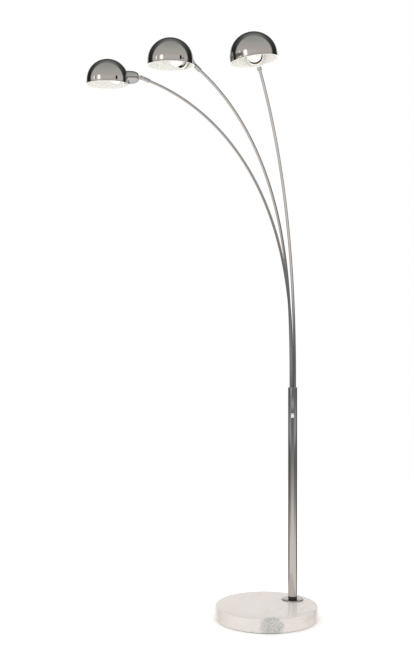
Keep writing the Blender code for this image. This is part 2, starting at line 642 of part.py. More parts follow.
def make_cup(name, head):
    """The housing behind the bulb, turned about the pivot's X axis, and the nut that holds it."""
    hole = SHANK_RADIUS + GAP
    shoulder = CUP_REAR + CUP_SHOULDER
    radial = CUP_RADIUS - CUP_REAR_RADIUS
    slopes = [math.pi / 2 * k / CUP_STEPS for k in range(CUP_STEPS + 1)]
    outer = [(CUP_REAR_RADIUS + radial * math.sin(t), shoulder - CUP_SHOULDER * math.cos(t)) for t in slopes]
    inner = [(r - CUP_WALL * math.sin(t), x + CUP_WALL * math.cos(t)) for (r, x), t in zip(outer, slopes)]
    outline = [(hole, CUP_REAR)] + outer + [(CUP_RADIUS, CUP_MOUTH), (CUP_RADIUS - CUP_WALL, CUP_MOUTH)]
    outline += inner[::-1] + [(hole, CUP_REAR + CUP_WALL)]
    piece("cup_" + name, turned(outline, 20), "chrome", head, X_AXIS)
    nut_start = CUP_REAR + CUP_WALL + GAP
    nut = hex_nut(CUP_NUT_ACROSS_FLATS, hole, nut_start, nut_start + CUP_NUT_HEIGHT)
    piece("cup_nut_" + name, nut, "brass", head, X_AXIS, smooth=False)
    ring_start = CUP_MOUTH - RING_SETBACK
    clamp = ring(RING_RADIUS, CUP_RADIUS + GAP, ring_start, ring_start + RING_LENGTH, 24)
    piece("shade_ring_" + name, clamp, "white_plastic", head, X_AXIS)


def shade_outline():
    """The shade's wall from its outer pole down to the rim and back up inside, about its own axis."""
    inner_radius = DOME_RADIUS - SHADE_WALL
    outer = arc((0, SKIRT_HEIGHT), DOME_RADIUS, 90, 0, 7)
    outer[0] = (0, outer[0][1])
    lip = [(DOME_RADIUS, LIP_HEIGHT), (LIP_RADIUS, 2 * SMALL_EDGE), (LIP_RADIUS - SMALL_EDGE, 0)]
    lip += [(inner_radius + LIP_UNDERCUT, 0), (inner_radius, LIP_HEIGHT)]
    inner = arc((0, SKIRT_HEIGHT), inner_radius, 0, 90, 7)
    inner[-1] = (0, inner[-1][1])
    return outer + lip + inner


def make_shade(name, head):
    shade = piece("shade_" + name, turned(shade_outline(), 28), "chrome", head, DOME_TO_PIVOT)
    hole = disc(CUP_RADIUS + GAP, -DOME_RADIUS, CUP_MOUTH + MM, 24)
    cut(shade, "cut_cup_hole_" + name, hole, X_AXIS)


def make_bulb(name, head):
    """A small globe bulb on the cup's axis, its screw cap and the socket that holds the cap."""
    neck_angle = math.degrees(math.asin(BULB_NECK_RADIUS / BULB_RADIUS))
    globe = arc((0, 0), BULB_RADIUS, 90, neck_angle - 90, 8)
    outline = [(0, BULB_CENTRE + BULB_RADIUS)]
    outline += [(r, BULB_CENTRE + x) for r, x in globe[1:]]
    outline += [(BULB_NECK_RADIUS, BULB_CENTRE - BULB_NECK_LENGTH), (0, BULB_CENTRE - BULB_NECK_LENGTH)]
    piece("bulb_" + name, turned(outline, 20), "opal_glass", head, X_AXIS)
    cap_front = BULB_CENTRE - BULB_NECK_LENGTH - GAP
    cap_rear = cap_front - BULB_CAP_LENGTH
    cap = [(0, cap_rear), (BULB_CAP_TIP, cap_rear), (BULB_CAP_RADIUS, cap_rear + BULB_CAP_TIP)]
    cap += [(BULB_CAP_RADIUS, cap_front), (0, cap_front)]
    piece("bulb_cap_" + name, turned(cap, 16), "brass", head, X_AXIS)
    rear = cap_rear - GAP - HOLDER_FLOOR
    bore = BULB_CAP_RADIUS + GAP
    socket = [
        (0, rear),
        (HOLDER_RADIUS - MM, rear),
        (HOLDER_RADIUS, rear + MM),
        (HOLDER_RADIUS, rear + HOLDER_LENGTH),
        (BULB_NECK_RADIUS + GAP, rear + HOLDER_LENGTH),
        (BULB_NECK_RADIUS + GAP, cap_front),
        (bore, cap_front),
        (bore, rear + HOLDER_FLOOR),
        (0, rear + HOLDER_FLOOR),
    ]
    piece("lamp_holder_" + name, turned(socket, 16), "porcelain", head, X_AXIS)


make_base()
make_post()
for arm_name, arm_values in ARMS.items():
    make_arm(arm_name, arm_values)
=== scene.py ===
"""The looks of the arc floor lamp: surfaces, finishes, floor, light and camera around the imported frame."""

import json
import math

import bmesh
import bpy
from mathutils import Matrix, Vector


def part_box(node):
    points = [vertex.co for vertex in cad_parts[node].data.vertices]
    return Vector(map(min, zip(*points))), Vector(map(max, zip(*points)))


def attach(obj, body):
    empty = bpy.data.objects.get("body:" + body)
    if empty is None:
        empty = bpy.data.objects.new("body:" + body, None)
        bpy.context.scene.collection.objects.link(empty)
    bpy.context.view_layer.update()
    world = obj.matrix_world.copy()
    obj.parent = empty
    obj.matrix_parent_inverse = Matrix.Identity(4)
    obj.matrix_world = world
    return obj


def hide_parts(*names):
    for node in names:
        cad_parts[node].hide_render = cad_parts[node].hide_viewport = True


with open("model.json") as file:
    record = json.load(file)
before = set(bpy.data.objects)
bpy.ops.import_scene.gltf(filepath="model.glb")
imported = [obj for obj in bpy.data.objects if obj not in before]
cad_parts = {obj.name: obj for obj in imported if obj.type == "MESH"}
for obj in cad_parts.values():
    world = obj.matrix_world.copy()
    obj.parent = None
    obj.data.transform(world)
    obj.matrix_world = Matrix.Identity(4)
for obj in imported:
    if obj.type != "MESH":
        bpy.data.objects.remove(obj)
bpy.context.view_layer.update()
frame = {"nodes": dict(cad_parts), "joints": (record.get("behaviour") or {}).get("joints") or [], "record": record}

bl_info = {
    "name": "Arc floor lamp",
    "version": (1, 0, 0),
    "blender": (4, 5, 0),
    "location": "3D View > Sidebar > Floor lamp",
    "description": "Dresses the packed floor lamp: stone base, chromed post and arms, domed shades, studio",
    "category": "Object",
}

ARMS = ("left", "middle", "right")
MM = 0.001
HAIR = 0.05 * MM  # how far a fine surface stays inside the outline of the piece it stands for
WELD = 0.01 * MM
GAP = 0.3 * MM  # between pieces that fit into each other

# The switch: half sizes across and up, and the key's reach from its pin.
WINDOW_HALF = (4.3 * MM, 6.8 * MM)
POCKET_HALF = (3.3 * MM, 5.7 * MM)
POCKET_DEPTH = 8 * MM
PLATE_EASE = 0.4 * MM
KEY_HALF = (3.0 * MM, 4.7 * MM)
KEY_CREASE = 3.3 * MM
KEY_PEAK = 4.2 * MM
KEY_HEEL = 1.5 * MM
KEY_EASE = 0.3 * MM

# The sleeves and their tilt pins.
SLEEVE_GROOVES = (4 * MM, 6 * MM)
GROOVE_RADIUS = 0.35 * MM
PIN_SLACK = 0.15 * MM
SCREW_HOLE = 1.85 * MM
PIN_TAIL = 3.6 * MM
PIN_HEAD = 3.55 * MM
PIN_HEAD_RISE = 2.15 * MM
PIN_BRIM = 0.6 * MM
DRIVER_SLOT = (5 * MM, 0.45 * MM, 1.2 * MM)  # half length, half width, and its bottom above the pin's seat

# The rings, the shades' lips and the lamp holders.
RING_RADIUS = 26.5 * MM
RING_BEHIND_MOUTH = 0.8 * MM
RING_AHEAD_OF_MOUTH = 2.7 * MM
RING_EASE = 0.8 * MM
LIP_ROUND = 0.45 * MM
LIP_EDGE = 0.9 * MM
CAP_LENGTH = 19 * MM
HOLDER_REAR = 3.3 * MM
HOLDER_LENGTH = 27 * MM
HOLDER_RADIUS = 13 * MM
HOLDER_BARREL = 12.2 * MM
HOLDER_BORE = 7.2 * MM
HOLDER_FLOOR = 3 * MM

# What the chrome mirrors. Heights run from straight down (0) to straight up (1).
PAPER = (0.80, 0.79, 0.77)
ROOM_TONES = (
    (0.0, (0.93, 0.90, 0.87)), (0.34, (0.92, 0.86, 0.81)), (0.362, (0.86, 0.79, 0.73)),
    (0.41, (0.34, 0.32, 0.30)), (0.445, 0.19), (0.462, 0.22), (0.475, 0.45), (0.49, 0.45), (0.51, 0.22),
    (0.57, 0.18), (0.60, (0.74, 0.70, 0.66)), (0.68, (0.65, 0.60, 0.57)), (0.86, (0.58, 0.575, 0.54)),
    (1.0, (0.46, 0.46, 0.43)),
)
SIDE_TONES = ((0.30, PAPER), (0.36, 0.03), (0.70, 0.03), (0.88, 0.10), (1.0, 0.30))
# Soft windows and dark corners: bearing, height, start and end of the fade (all in degrees), and colour.
WINDOWS = (
    (-43, 11, 1, 12, (1.9, 1.82, 1.72)),
    (-72, 13, 1, 4, (1.6, 1.6, 1.55)),
    (55, 13, 4, 6.5, (0.02, 0.02, 0.02)),
    (-62, 12, 1, 3, (0.05, 0.05, 0.05)),
)

# What the frame gives: each joint's place and axis, and the size of the turned pieces.
JOINTS = {joint["name"]: joint for joint in frame["joints"]}
BASE_LOW, BASE_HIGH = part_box("marble_base")
POST_LOW, POST_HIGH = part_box("post_tube")
HOLDER_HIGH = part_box("arm_holder")[1]
FLANGE_LOW, FLANGE_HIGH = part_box("foot_flange")
COLLAR_LOW, COLLAR_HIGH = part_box("foot_collar")
BASE_RADIUS = BASE_HIGH.x
POST_AXIS = Vector(((POST_LOW.x + POST_HIGH.x) / 2, (POST_LOW.y + POST_HIGH.y) / 2, 0))
POST_RADIUS = (POST_HIGH.x - POST_LOW.x) / 2
FLANGE_RADIUS = (FLANGE_HIGH.x - FLANGE_LOW.x) / 2
POST_TOP = HOLDER_HIGH.z

# How each head is set on its arm, as the frame has it: its roll about the line from the pivot to the bulb.
HEAD_ROLL = {"left": 0.0, "middle": 0.0, "right": math.radians(8)}


# ---------------------------------------------------------------- what a user may change
def length(name, description, default):
    return bpy.props.FloatProperty(
        name=name, description=description, default=default, min=0.0, unit="LENGTH", subtype="DISTANCE"
    )


def colour(name, description, default):
    return bpy.props.FloatVectorProperty(
        name=name, description=description, default=default, size=3, min=0.0, max=1.0, subtype="COLOR"
    )


def share(name, description, default):
    return bpy.props.FloatProperty(
        name=name, description=description, default=default, min=0.0, max=1.0, subtype="FACTOR"
    )


def number(name, description, default):
    return bpy.props.FloatProperty(name=name, description=description, default=default)


def degrees(name, description, default):
    return bpy.props.FloatProperty(
        name=name, description=description, default=math.radians(default), unit="ROTATION", subtype="ANGLE"
    )


class ShadeSizes(bpy.types.PropertyGroup):
    """The domed shades and the cups behind them, each in its own head's frame."""

    dome_radius: length("Dome radius", "Outer radius of the domed part", 73.5 * MM)
    skirt: length("Skirt", "Straight wall under the dome", 16 * MM)
    wall: length("Wall", "Thickness of the shade's sheet", 1.2 * MM)
    lip_radius: length("Lip radius", "Outer radius of the flared lip", 77 * MM)
    lip_height: length("Lip height", "Height of the flare above the rim", 3 * MM)
    pivot_to_dome: length("Pivot to dome", "From the tilt pin to the dome's axis", 116.5 * MM)
    cup_height: length("Cup height", "The cup's axis above the rim", 27 * MM)
    cup_radius: length("Cup radius", "Outer radius of the cup", 22.8 * MM)
    cup_rear: length("Cup rear", "From the tilt pin to the cup's rear face", 8.8 * MM)
    cup_rear_radius: length("Cup rear radius", "Radius of the cup's flat rear face", 9.5 * MM)
    cup_shoulder: length("Cup shoulder", "Length of the cup's rounded rear", 32 * MM)
    cup_inside: length("Cup inside", "From the dome's axis to the cup's mouth", 57 * MM)
    cup_wall: length("Cup wall", "Thickness of the cup's sheet", 1.2 * MM)
    shank_radius: length("Shank radius", "Radius of the shank through the cup's rear", 5 * MM)
    bulb_radius: length("Bulb radius", "Radius of the globe", 22.5 * MM)
    bulb_from_axis: length("Bulb from axis", "From the dome's axis to the globe's centre", 30 * MM)
    bulb_neck_radius: length("Bulb neck radius", "Radius of the globe's neck", 8.5 * MM)
    bulb_neck_length: length("Bulb neck", "From the globe's centre to its screw cap", 31 * MM)


class BaseSizes(bpy.types.PropertyGroup):
    """The stone base and the post."""

    edge: length("Edge", "Rounding of the stone's upper edge", 4.5 * MM)
    lower_edge: length("Lower edge", "Rounding of the stone's lower edge", 2 * MM)
    pipe_hole: length("Pipe hole", "Radius of the hole for the threaded pipe", 5.6 * MM)
    counterbore: length("Counterbore", "Radius of the recess for the washer and nut", 21 * MM)
    groove: length("Groove", "Width of the cable groove under the stone", 9 * MM)
    groove_height: length("Groove height", "Height of the cable groove", 8 * MM)
    post_wall: length("Post wall", "Thickness of the post's tube", 1.5 * MM)
    flange_edge: length("Flange edge", "Rounding of the foot plate's rim", 1.2 * MM)
    arm_hole: length("Arm hole", "Radius of the holes that the arms turn in", 5.35 * MM)
    ease: length("Ease", "Rounding of the post's edges", 0.4 * MM)


class SwitchSizes(bpy.types.PropertyGroup):
    """The rocker switch."""

    width: length("Width", "Width of the switch's plate", 10 * MM)
    height: length("Height", "Height of the switch's plate", 15 * MM)
    plate: length("Plate", "Thickness of the switch's plate", 1.6 * MM)
    depth: length("Depth", "Depth of the housing behind the plate", 11 * MM)
    tilt: degrees("Tilt", "How far the key is tipped at rest", 10)


class ArmSizes(bpy.types.PropertyGroup):
    """The curved arms and the sleeves on their ends."""

    left_length: length("Left length", "Length of the left arm's curve", 1.241)
    left_bend: number("Left bend", "How late the left arm leans", 1.70)
    middle_length: length("Middle length", "Length of the middle arm's curve", 1.163)
    middle_bend: number("Middle bend", "How late the middle arm leans", 1.88)
    right_length: length("Right length", "Length of the right arm's curve", 1.110)
    right_bend: number("Right bend", "How late the right arm leans", 1.30)
    straight_end: length("Straight end", "Straight length at an arm's end", 30 * MM)
    tube_radius: length("Tube radius", "Outer radius of an arm's tube", 4.75 * MM)
    tube_wall: length("Tube wall", "Thickness of an arm's tube", 1 * MM)
    arm_in_sleeve: length("Arm in sleeve", "How far an arm's end goes into its sleeve", 18 * MM)
    fork_root: length("Fork root", "From the tilt pin back to the bottom of the fork's slot", 9 * MM)
    fork_tip: length("Fork tip", "Radius of the fork's nose", 7 * MM)
    fork_width: length("Fork width", "Across the fork's flats", 12 * MM)
    half_slot: length("Half slot", "Half the width of the fork's slot", 3.3 * MM)
    pin_radius: length("Pin radius", "Radius of the tilt pin", 2 * MM)
    sleeve_radius: length("Sleeve radius", "Outer radius of a sleeve", 7 * MM)
    sleeve_length: length("Sleeve length", "From its mouth to the tilt pin", 32 * MM)
    edge: length("Edge", "Width of the small chamfers", 0.8 * MM)


class Finishes(bpy.types.PropertyGroup):
    """The colours of the lamp's finishes."""

    chrome: colour("Chrome", "Colour of the chrome plate", (0.60, 0.59, 0.58))
    chrome_roughness: share("Chrome roughness", "How much the chrome blurs what it reflects", 0.035)
    stone: colour("Stone", "Ground colour of the marble", (0.68, 0.64, 0.61))
    stone_warm: colour("Warm clouds", "Colour of the marble's warm clouds", (0.69, 0.61, 0.57))
    stone_vein: colour("Veins", "Colour of the marble's veins", (0.38, 0.39, 0.37))
    enamel: colour("Enamel", "Colour of the shades' inside", (0.93, 0.92, 0.88))
    globe: colour("Globe", "Colour of the opal globes", (0.95, 0.93, 0.87))
    plastic: colour("White plastic", "Colour of the switch", (0.80, 0.80, 0.77))


class Studio(bpy.types.PropertyGroup):
    """The floor, the light and the camera."""

    lens: bpy.props.FloatProperty(
        name="Lens", description="Focal length on a 36 mm long side", default=58.82, unit="CAMERA"
    )
    camera_place: bpy.props.FloatVectorProperty(
        name="Camera", description="Where the camera stands", default=(-2.2528, -2.8625, 1.0632), size=3,
        unit="LENGTH", subtype="TRANSLATION",
    )
    camera_turn: degrees("Camera turn", "Which way the level camera looks, from +Y", -35)
    camera_shift: number("Camera shift", "Upright shift of the picture", -0.026)
    floor_radius: length("Floor radius", "Radius of the round floor", 3.0)
    key: number("Key", "Strength of the light from the front left", 0.42)
    fill: number("Fill", "Strength of the light from the front right", 0.15)
    back: number("Back", "Strength of the light from behind", 0.15)
    bounce: number("Bounce", "Strength of the light from below", 1.6)


# ---------------------------------------------------------------- nodes of a material
def new_material(name):
    made = bpy.data.materials.new(name)
    made.use_nodes = True
    made.node_tree.nodes.clear()
    return made


class Nodes:
    """Adds nodes to a tree and joins them, so that a material reads from its first node to its last."""

    def __init__(self, tree):
        self.tree = tree

    def add(self, kind, settings=None, **inputs):
        node = self.tree.nodes.new(kind)
        for key, value in (settings or {}).items():
            setattr(node, key, value)
        for key, value in inputs.items():
            self.put(node, key.replace("_", " ").title(), value)
        return node

    def put(self, node, key, value):
        socket = node.inputs[key]
        if isinstance(value, bpy.types.NodeSocket):
            self.tree.links.new(value, socket)
        else:
            socket.default_value = value

    def place(self, scale=(1, 1, 1), turn=(0, 0, 0), offset=(0, 0, 0)):
        source = self.add("ShaderNodeTexCoord").outputs["Object"]
        node = self.add("ShaderNodeMapping", None, vector=source, scale=scale, rotation=turn, location=offset)
        return node.outputs[0]

    def noise(self, vector, scale, detail=4.0, roughness=0.55, distortion=0.0):
        node = self.add("ShaderNodeTexNoise", None, vector=vector, scale=scale, detail=detail)
        self.put(node, "Roughness", roughness)
        self.put(node, "Distortion", distortion)
        return node.outputs["Fac"]

    def ramp(self, value, *stops):
        """A colour ramp through (position, grey or colour) stops."""
        node = self.add("ShaderNodeValToRGB", None, fac=value)
        elements = node.color_ramp.elements
        while len(elements) < len(stops):
            elements.new(0.5)
        for element, (position, shade) in zip(elements, stops):
            element.position = position
            element.color = (*shade, 1) if hasattr(shade, "__len__") else (shade, shade, shade, 1)
        return node.outputs["Color"]

    def mix(self, share_of, first, second):
        node = self.add("ShaderNodeMix", {"data_type": "RGBA"})
        for socket, value in ((0, share_of), (6, first), (7, second)):
            self.put_at(node, socket, value)
        return node.outputs[2]

    def put_at(self, node, index, value):
        if isinstance(value, bpy.types.NodeSocket):
            self.tree.links.new(value, node.inputs[index])
        elif index == 0:
            node.inputs[0].default_value = value
        else:
            node.inputs[index].default_value = (*value[:3], 1)

    def math(self, operation, first, second=0.0):
        node = self.add("ShaderNodeMath", {"operation": operation})
        for index, value in enumerate((first, second)):
            if isinstance(value, bpy.types.NodeSocket):
                self.tree.links.new(value, node.inputs[index])
            else:
                node.inputs[index].default_value = value
        return node.outputs[0]

    def step(self, value, low, high, curve="LINEAR"):
        """0 at low and 1 at high, and clamped beyond them."""
        node = self.add("ShaderNodeMapRange", {"interpolation_type": curve}, value=value)
        node.inputs["From Min"].default_value = low
        node.inputs["From Max"].default_value = high
        return node.outputs[0]

    def spread(self, value, low, high):
        """A 0 to 1 value spread between low and high."""
        node = self.add("ShaderNodeMapRange", None, value=value)
        node.inputs["To Min"].default_value = low
        node.inputs["To Max"].default_value = high
        return node.outputs[0]

    def bump(self, height, strength, distance):
        node = self.add("ShaderNodeBump", None, height=height, strength=strength, distance=distance)
        return node.outputs[0]

    def shader(self, base, roughness, metallic=0.0, **more):
        node = self.add("ShaderNodeBsdfPrincipled")
        for key, value in {"Base Color": base, "Roughness": roughness, "Metallic": metallic, **more}.items():
            if key == "Base Color" and not isinstance(value, bpy.types.NodeSocket):
                value = (*value[:3], 1)
            self.put(node, key, value)
        output = self.add("ShaderNodeOutputMaterial")
        self.tree.links.new(node.outputs[0], output.inputs["Surface"])
        return node


MATERIALS = {}


def finish(name):
    """The named finish, made the first time that it is asked for."""
    if name not in MATERIALS:
        made = new_material(name)
        FINISH_MAKERS[name](Nodes(made.node_tree), bpy.context.scene.lamp_finishes)
        MATERIALS[name] = made
    return MATERIALS[name]


def make_chrome(n, finishes):
    """Mirror chrome: a hand-wiped haze in the gloss, faint polishing waves and a hint of dulled plate."""
    place = n.place()
    haze = n.noise(place, 34, 5, 0.6)
    low = finishes.chrome_roughness
    roughness = n.spread(haze, low * 0.5, low * 1.8)
    plate = tuple(finishes.chrome)
    tone = n.mix(n.noise(place, 9, 3), plate, tuple(c * 0.94 for c in plate))
    waves = n.noise(place, 22, 2, 0.4)
    n.shader(tone, roughness, 1.0, Normal=n.bump(waves, 0.02, 0.4 * MM))


def make_brushed_steel(n, finishes):
    """Zinc-plated steel with fine turning marks."""
    marks = n.noise(n.place((20, 20, 900)), 3, 5, 0.7)
    clouds = n.noise(n.place(), 60, 4)
    tone = n.mix(clouds, (0.55, 0.56, 0.58), (0.68, 0.68, 0.67))
    n.shader(tone, n.spread(marks, 0.28, 0.48), 1.0, Normal=n.bump(marks, 0.15, 0.05 * MM))


def make_brass(n, finishes):
    """Bare brass, darker where it has been handled."""
    tarnish = n.noise(n.place(), 70, 5, 0.6)
    tone = n.mix(n.ramp(tarnish, (0.45, 0.0), (0.75, 1.0)), (0.80, 0.60, 0.26), (0.48, 0.34, 0.15))
    n.shader(tone, n.spread(tarnish, 0.22, 0.42), 1.0, Normal=n.bump(tarnish, 0.1, 0.05 * MM))


def make_marble(n, finishes):
    """Polished white marble: clouds, fine slanting veins and one grey crystalline patch at the edge."""
    place = n.place()
    clouds = n.noise(place, 7, 6, 0.6, 0.8)
    warmth = n.ramp(clouds, (0.38, 0.0), (0.64, 1.0))
    ground = n.mix(warmth, tuple(finishes.stone), tuple(finishes.stone_warm))

    # Slanting veins: thin lines where a folded noise crosses its middle.
    slanted = n.place((1.0, 2.6, 1.4), (0, 0, math.radians(38)))
    folded = n.noise(slanted, 4.2, 8, 0.62, 1.3)
    distance = n.math("ABSOLUTE", n.math("SUBTRACT", folded, 0.5))
    fine = n.ramp(distance, (0.0, 1.0), (0.012, 0.35), (0.035, 0.0))
    where = n.ramp(n.noise(place, 3.1, 3), (0.40, 0.0), (0.62, 1.0))
    vein = n.math("MULTIPLY", n.math("MULTIPLY", fine, where), 0.42)
    veined = n.mix(vein, ground, tuple(finishes.stone_vein))
    crystals = n.add("ShaderNodeTexVoronoi", {"feature": "F1"}, vector=place, scale=260.0).outputs["Distance"]
    grain = n.noise(place, 420, 3, 0.7)

    # The grey patch: a ragged ball of coarse crystals on the rim.
    centred = n.place((1, 1, 1), (0, 0, 0), tuple(-c for c in GREY_PATCH))
    reach = n.add("ShaderNodeVectorMath", {"operation": "LENGTH"})
    n.tree.links.new(centred, reach.inputs[0])
    ragged = n.math("ADD", reach.outputs["Value"], n.spread(n.noise(place, 55, 5, 0.65), -0.016, 0.016))
    patch = n.ramp(n.math("DIVIDE", ragged, 0.05), (0.62, 1.0), (0.86, 0.0))
    speckle = n.ramp(n.noise(place, 260, 5, 0.75), (0.40, (0.25, 0.26, 0.24)), (0.62, (0.62, 0.63, 0.60)))
    coloured = n.mix(n.math("MULTIPLY", patch, 0.85), veined, speckle)
    sparkle = n.mix(n.ramp(grain, (0.52, 0.0), (0.70, 0.10)), coloured, (0.88, 0.87, 0.85))
    polish = n.math("ADD", n.spread(n.noise(place, 30, 4), 0.10, 0.22), n.math("MULTIPLY", patch, 0.12))
    normal = n.bump(crystals, 0.03, 0.1 * MM)
    n.shader(
        sparkle, polish, 0.0, Normal=normal,
        **{
            "IOR": 1.5, "Subsurface Weight": 0.06, "Subsurface Radius": (0.012, 0.009, 0.007),
            "Coat Weight": 0.25, "Coat Roughness": 0.06,
        },
    )


def make_enamel(n, finishes):
    """Gloss white enamel with a faint orange-peel skin."""
    place = n.place()
    peel = n.noise(place, 320, 3, 0.5)
    shade_of = tuple(finishes.enamel)
    tone = n.mix(n.noise(place, 14, 3), shade_of, tuple(c * 0.97 for c in shade_of))
    n.shader(tone, n.spread(n.noise(place, 40, 3), 0.22, 0.34), 0.0, Normal=n.bump(peel, 0.12, 0.08 * MM))


def make_opal_glass(n, finishes):
    """White flashed glass: a milky body under a clear gloss."""
    milk = n.noise(n.place(), 30, 3)
    shade_of = tuple(finishes.globe)
    tone = n.mix(milk, shade_of, tuple(c * 0.96 for c in shade_of))
    n.shader(
        tone, n.spread(milk, 0.30, 0.38), 0.0,
        **{
            "IOR": 1.5, "Specular IOR Level": 0.2, "Subsurface Weight": 0.3,
            "Subsurface Radius": (0.006, 0.006, 0.005),
        },
    )


def make_porcelain(n, finishes):
    """Glazed porcelain with small specks."""
    place = n.place()
    speck = n.ramp(n.noise(place, 600, 2), (0.70, 0.0), (0.76, 0.35))
    tone = n.mix(speck, (0.86, 0.85, 0.80), (0.52, 0.47, 0.40))
    gloss = n.spread(n.noise(place, 50, 3), 0.14, 0.28)
    n.shader(tone, gloss, 0.0, Normal=n.bump(n.noise(place, 90, 3), 0.08, 0.1 * MM))


def make_gloss_plastic(n, finishes):
    """Moulded white plastic with a faint mottle in its tone and a fine grain in its gloss."""
    place = n.place()
    grain = n.noise(place, 1400, 3, 0.6)
    shade_of = tuple(finishes.plastic)
    tone = n.mix(n.noise(place, 90, 3), shade_of, tuple(c * 0.95 for c in shade_of))
    n.shader(tone, n.spread(grain, 0.26, 0.42), 0.0, Normal=n.bump(grain, 0.08, 0.03 * MM))


def make_dark(n, tone, low, high, scale):
    """A dark, dull, slightly uneven surface, which the black plastic, rubber and felt share."""
    grain = n.noise(n.place(), scale, 5, 0.7)
    n.shader(n.mix(grain, tone, tuple(2.2 * c for c in tone)), n.spread(grain, low, high), 0.0,
             Normal=n.bump(grain, 0.35, 0.1 * MM))


def make_black_plastic(n, finishes):
    """Satin black plastic."""
    make_dark(n, (0.018, 0.017, 0.016), 0.34, 0.55, 900)


def make_rubber(n, finishes):
    """Moulded black rubber."""
    make_dark(n, (0.022, 0.022, 0.022), 0.65, 0.85, 500)


def make_felt(n, finishes):
    """Pressed black felt, matted in short crossing fibres."""
    across = n.noise(n.place((900, 120, 120)), 1, 5, 0.7, 1.0)
    along = n.noise(n.place((120, 900, 120)), 1, 5, 0.7, 1.0)
    fibres = n.math("MAXIMUM", across, along)
    tone = n.mix(n.ramp(fibres, (0.45, 0.0), (0.75, 1.0)), (0.012, 0.012, 0.012), (0.075, 0.073, 0.070))
    matted = n.bump(fibres, 0.8, 0.4 * MM)
    n.shader(tone, 0.95, 0.0, Normal=matted, **{"Sheen Weight": 0.4, "Sheen Roughness": 0.6})


def make_cable(n, finishes):
    """White PVC insulation."""
    place = n.place()
    scuffs = n.noise(place, 200, 5, 0.65)
    tone = n.mix(n.ramp(scuffs, (0.5, 0.0), (0.8, 1.0)), (0.78, 0.77, 0.73), (0.60, 0.58, 0.54))
    n.shader(tone, n.spread(scuffs, 0.42, 0.62), 0.0, Normal=n.bump(scuffs, 0.1, 0.05 * MM))


FINISH_MAKERS = {
    "chrome": make_chrome,
    "steel": make_brushed_steel,
    "brass": make_brass,
    "marble": make_marble,
    "enamel": make_enamel,
    "opal_glass": make_opal_glass,
    "porcelain": make_porcelain,
    "white_plastic": make_gloss_plastic,
    "black_plastic": make_black_plastic,
    "rubber": make_rubber,
    "felt": make_felt,
    "cable": make_cable,
}

# The grey patch faces the front of the lamp, low on the stone's side.
PATCH_TURN = math.radians(-122)
GREY_PATCH = (
    BASE_RADIUS * math.cos(PATCH_TURN),
    BASE_RADIUS * math.sin(PATCH_TURN),
    BASE_LOW.z + 0.4 * (BASE_HIGH.z - BASE_LOW.z),
)


# ---------------------------------------------------------------- modelling helpers
def only(obj):
    """Leaves obj alone in the selection, in object mode."""
    if bpy.context.mode != "OBJECT":
        bpy.ops.object.mode_set(mode="OBJECT")
    bpy.ops.object.select_all(action="DESELECT")
    if obj:
        obj.select_set(True)
        bpy.context.view_layer.objects.active = obj
    return obj


def added(name, operator, **settings):
    """A new primitive under its own name, alone in the selection."""
    only(None)
    operator(**settings)
    obj = bpy.context.object
    obj.name = name
    obj.data.name = name
    return obj


def edit(obj, kind="VERT"):
    only(obj)
    bpy.ops.object.mode_set(mode="EDIT")
    bpy.ops.mesh.select_mode(type=kind)
    bpy.ops.mesh.select_all(action="DESELECT")


def done():
    bpy.ops.object.mode_set(mode="OBJECT")


def pick(obj, kind, test):
    """Selects, in edit mode, the verts, edges or faces whose centre passes the test."""
    bpy.ops.mesh.select_all(action="DESELECT")
    bm = bmesh.from_edit_mesh(obj.data)
    found = 0
    for element in getattr(bm, kind):
        corners = [element] if kind == "verts" else element.verts
        if test(sum((v.co for v in corners), Vector()) / len(corners)):
            element.select_set(True)
            found += 1
    bmesh.update_edit_mesh(obj.data)
    if not found:
        raise RuntimeError(f"{obj.name}: nothing to select")


def clean(obj):
    """Merges doubled points and turns every face outwards."""
    edit(obj)
    bpy.ops.mesh.select_all(action="SELECT")
    bpy.ops.mesh.remove_doubles(threshold=WELD)
    bpy.ops.mesh.normals_make_consistent(inside=False)
    done()
    return obj


def apply_modifier(obj, name, kind, **settings):
    only(obj)
    modifier = obj.modifiers.new(name, kind)
    for key, value in settings.items():
        setattr(modifier, key, value)
    if bpy.ops.object.modifier_apply(modifier=modifier.name) != {"FINISHED"}:
        raise RuntimeError(f"{obj.name}: {name} wasn't applied")
    return obj


def carve(obj, name, cutter, operation="DIFFERENCE"):
    """Applies a Boolean with cutter, then removes the cutter."""
    apply_modifier(obj, name, "BOOLEAN", object=cutter, operation=operation, solver="EXACT")
    bpy.data.objects.remove(cutter, do_unlink=True)
    return obj


def spun(name, outline, steps=72):
    """A piece turned about Z from (radius, height) points that end on the axis or make a loop clear of it."""
    obj = added(name, bpy.ops.mesh.primitive_plane_add, size=1)
    edit(obj)
    bpy.ops.mesh.select_all(action="SELECT")
    bpy.ops.mesh.merge(type="CENTER")
    bpy.ops.mesh.select_all(action="SELECT")
    bpy.ops.transform.translate(value=(outline[0][0], 0, outline[0][1]))
    for (radius, height), (next_radius, next_height) in zip(outline, outline[1:]):
        move = {"value": (next_radius - radius, 0, next_height - height)}
        bpy.ops.mesh.extrude_region_move(TRANSFORM_OT_translate=move)
    if outline[0][0] > 0:
        ends = [Vector((r, 0, z)) for r, z in (outline[0], outline[-1])]
        pick(obj, "verts", lambda at: min((at - end).length for end in ends) < WELD)
        bpy.ops.mesh.edge_face_add()
    bpy.ops.mesh.select_all(action="SELECT")
    bpy.ops.mesh.spin(steps=steps, angle=math.tau, center=(0, 0, 0), axis=(0, 0, 1))
    return clean(obj)


def cylinder(name, radius, low, high, matrix=Matrix(), sides=48):
    """A cylinder between two heights of a frame's own Z axis, used as a cutter."""
    obj = added(name, bpy.ops.mesh.primitive_cylinder_add, vertices=sides, radius=radius, depth=high - low)
    obj.matrix_world = matrix @ Matrix.Translation((0, 0, (low + high) / 2))
    return obj


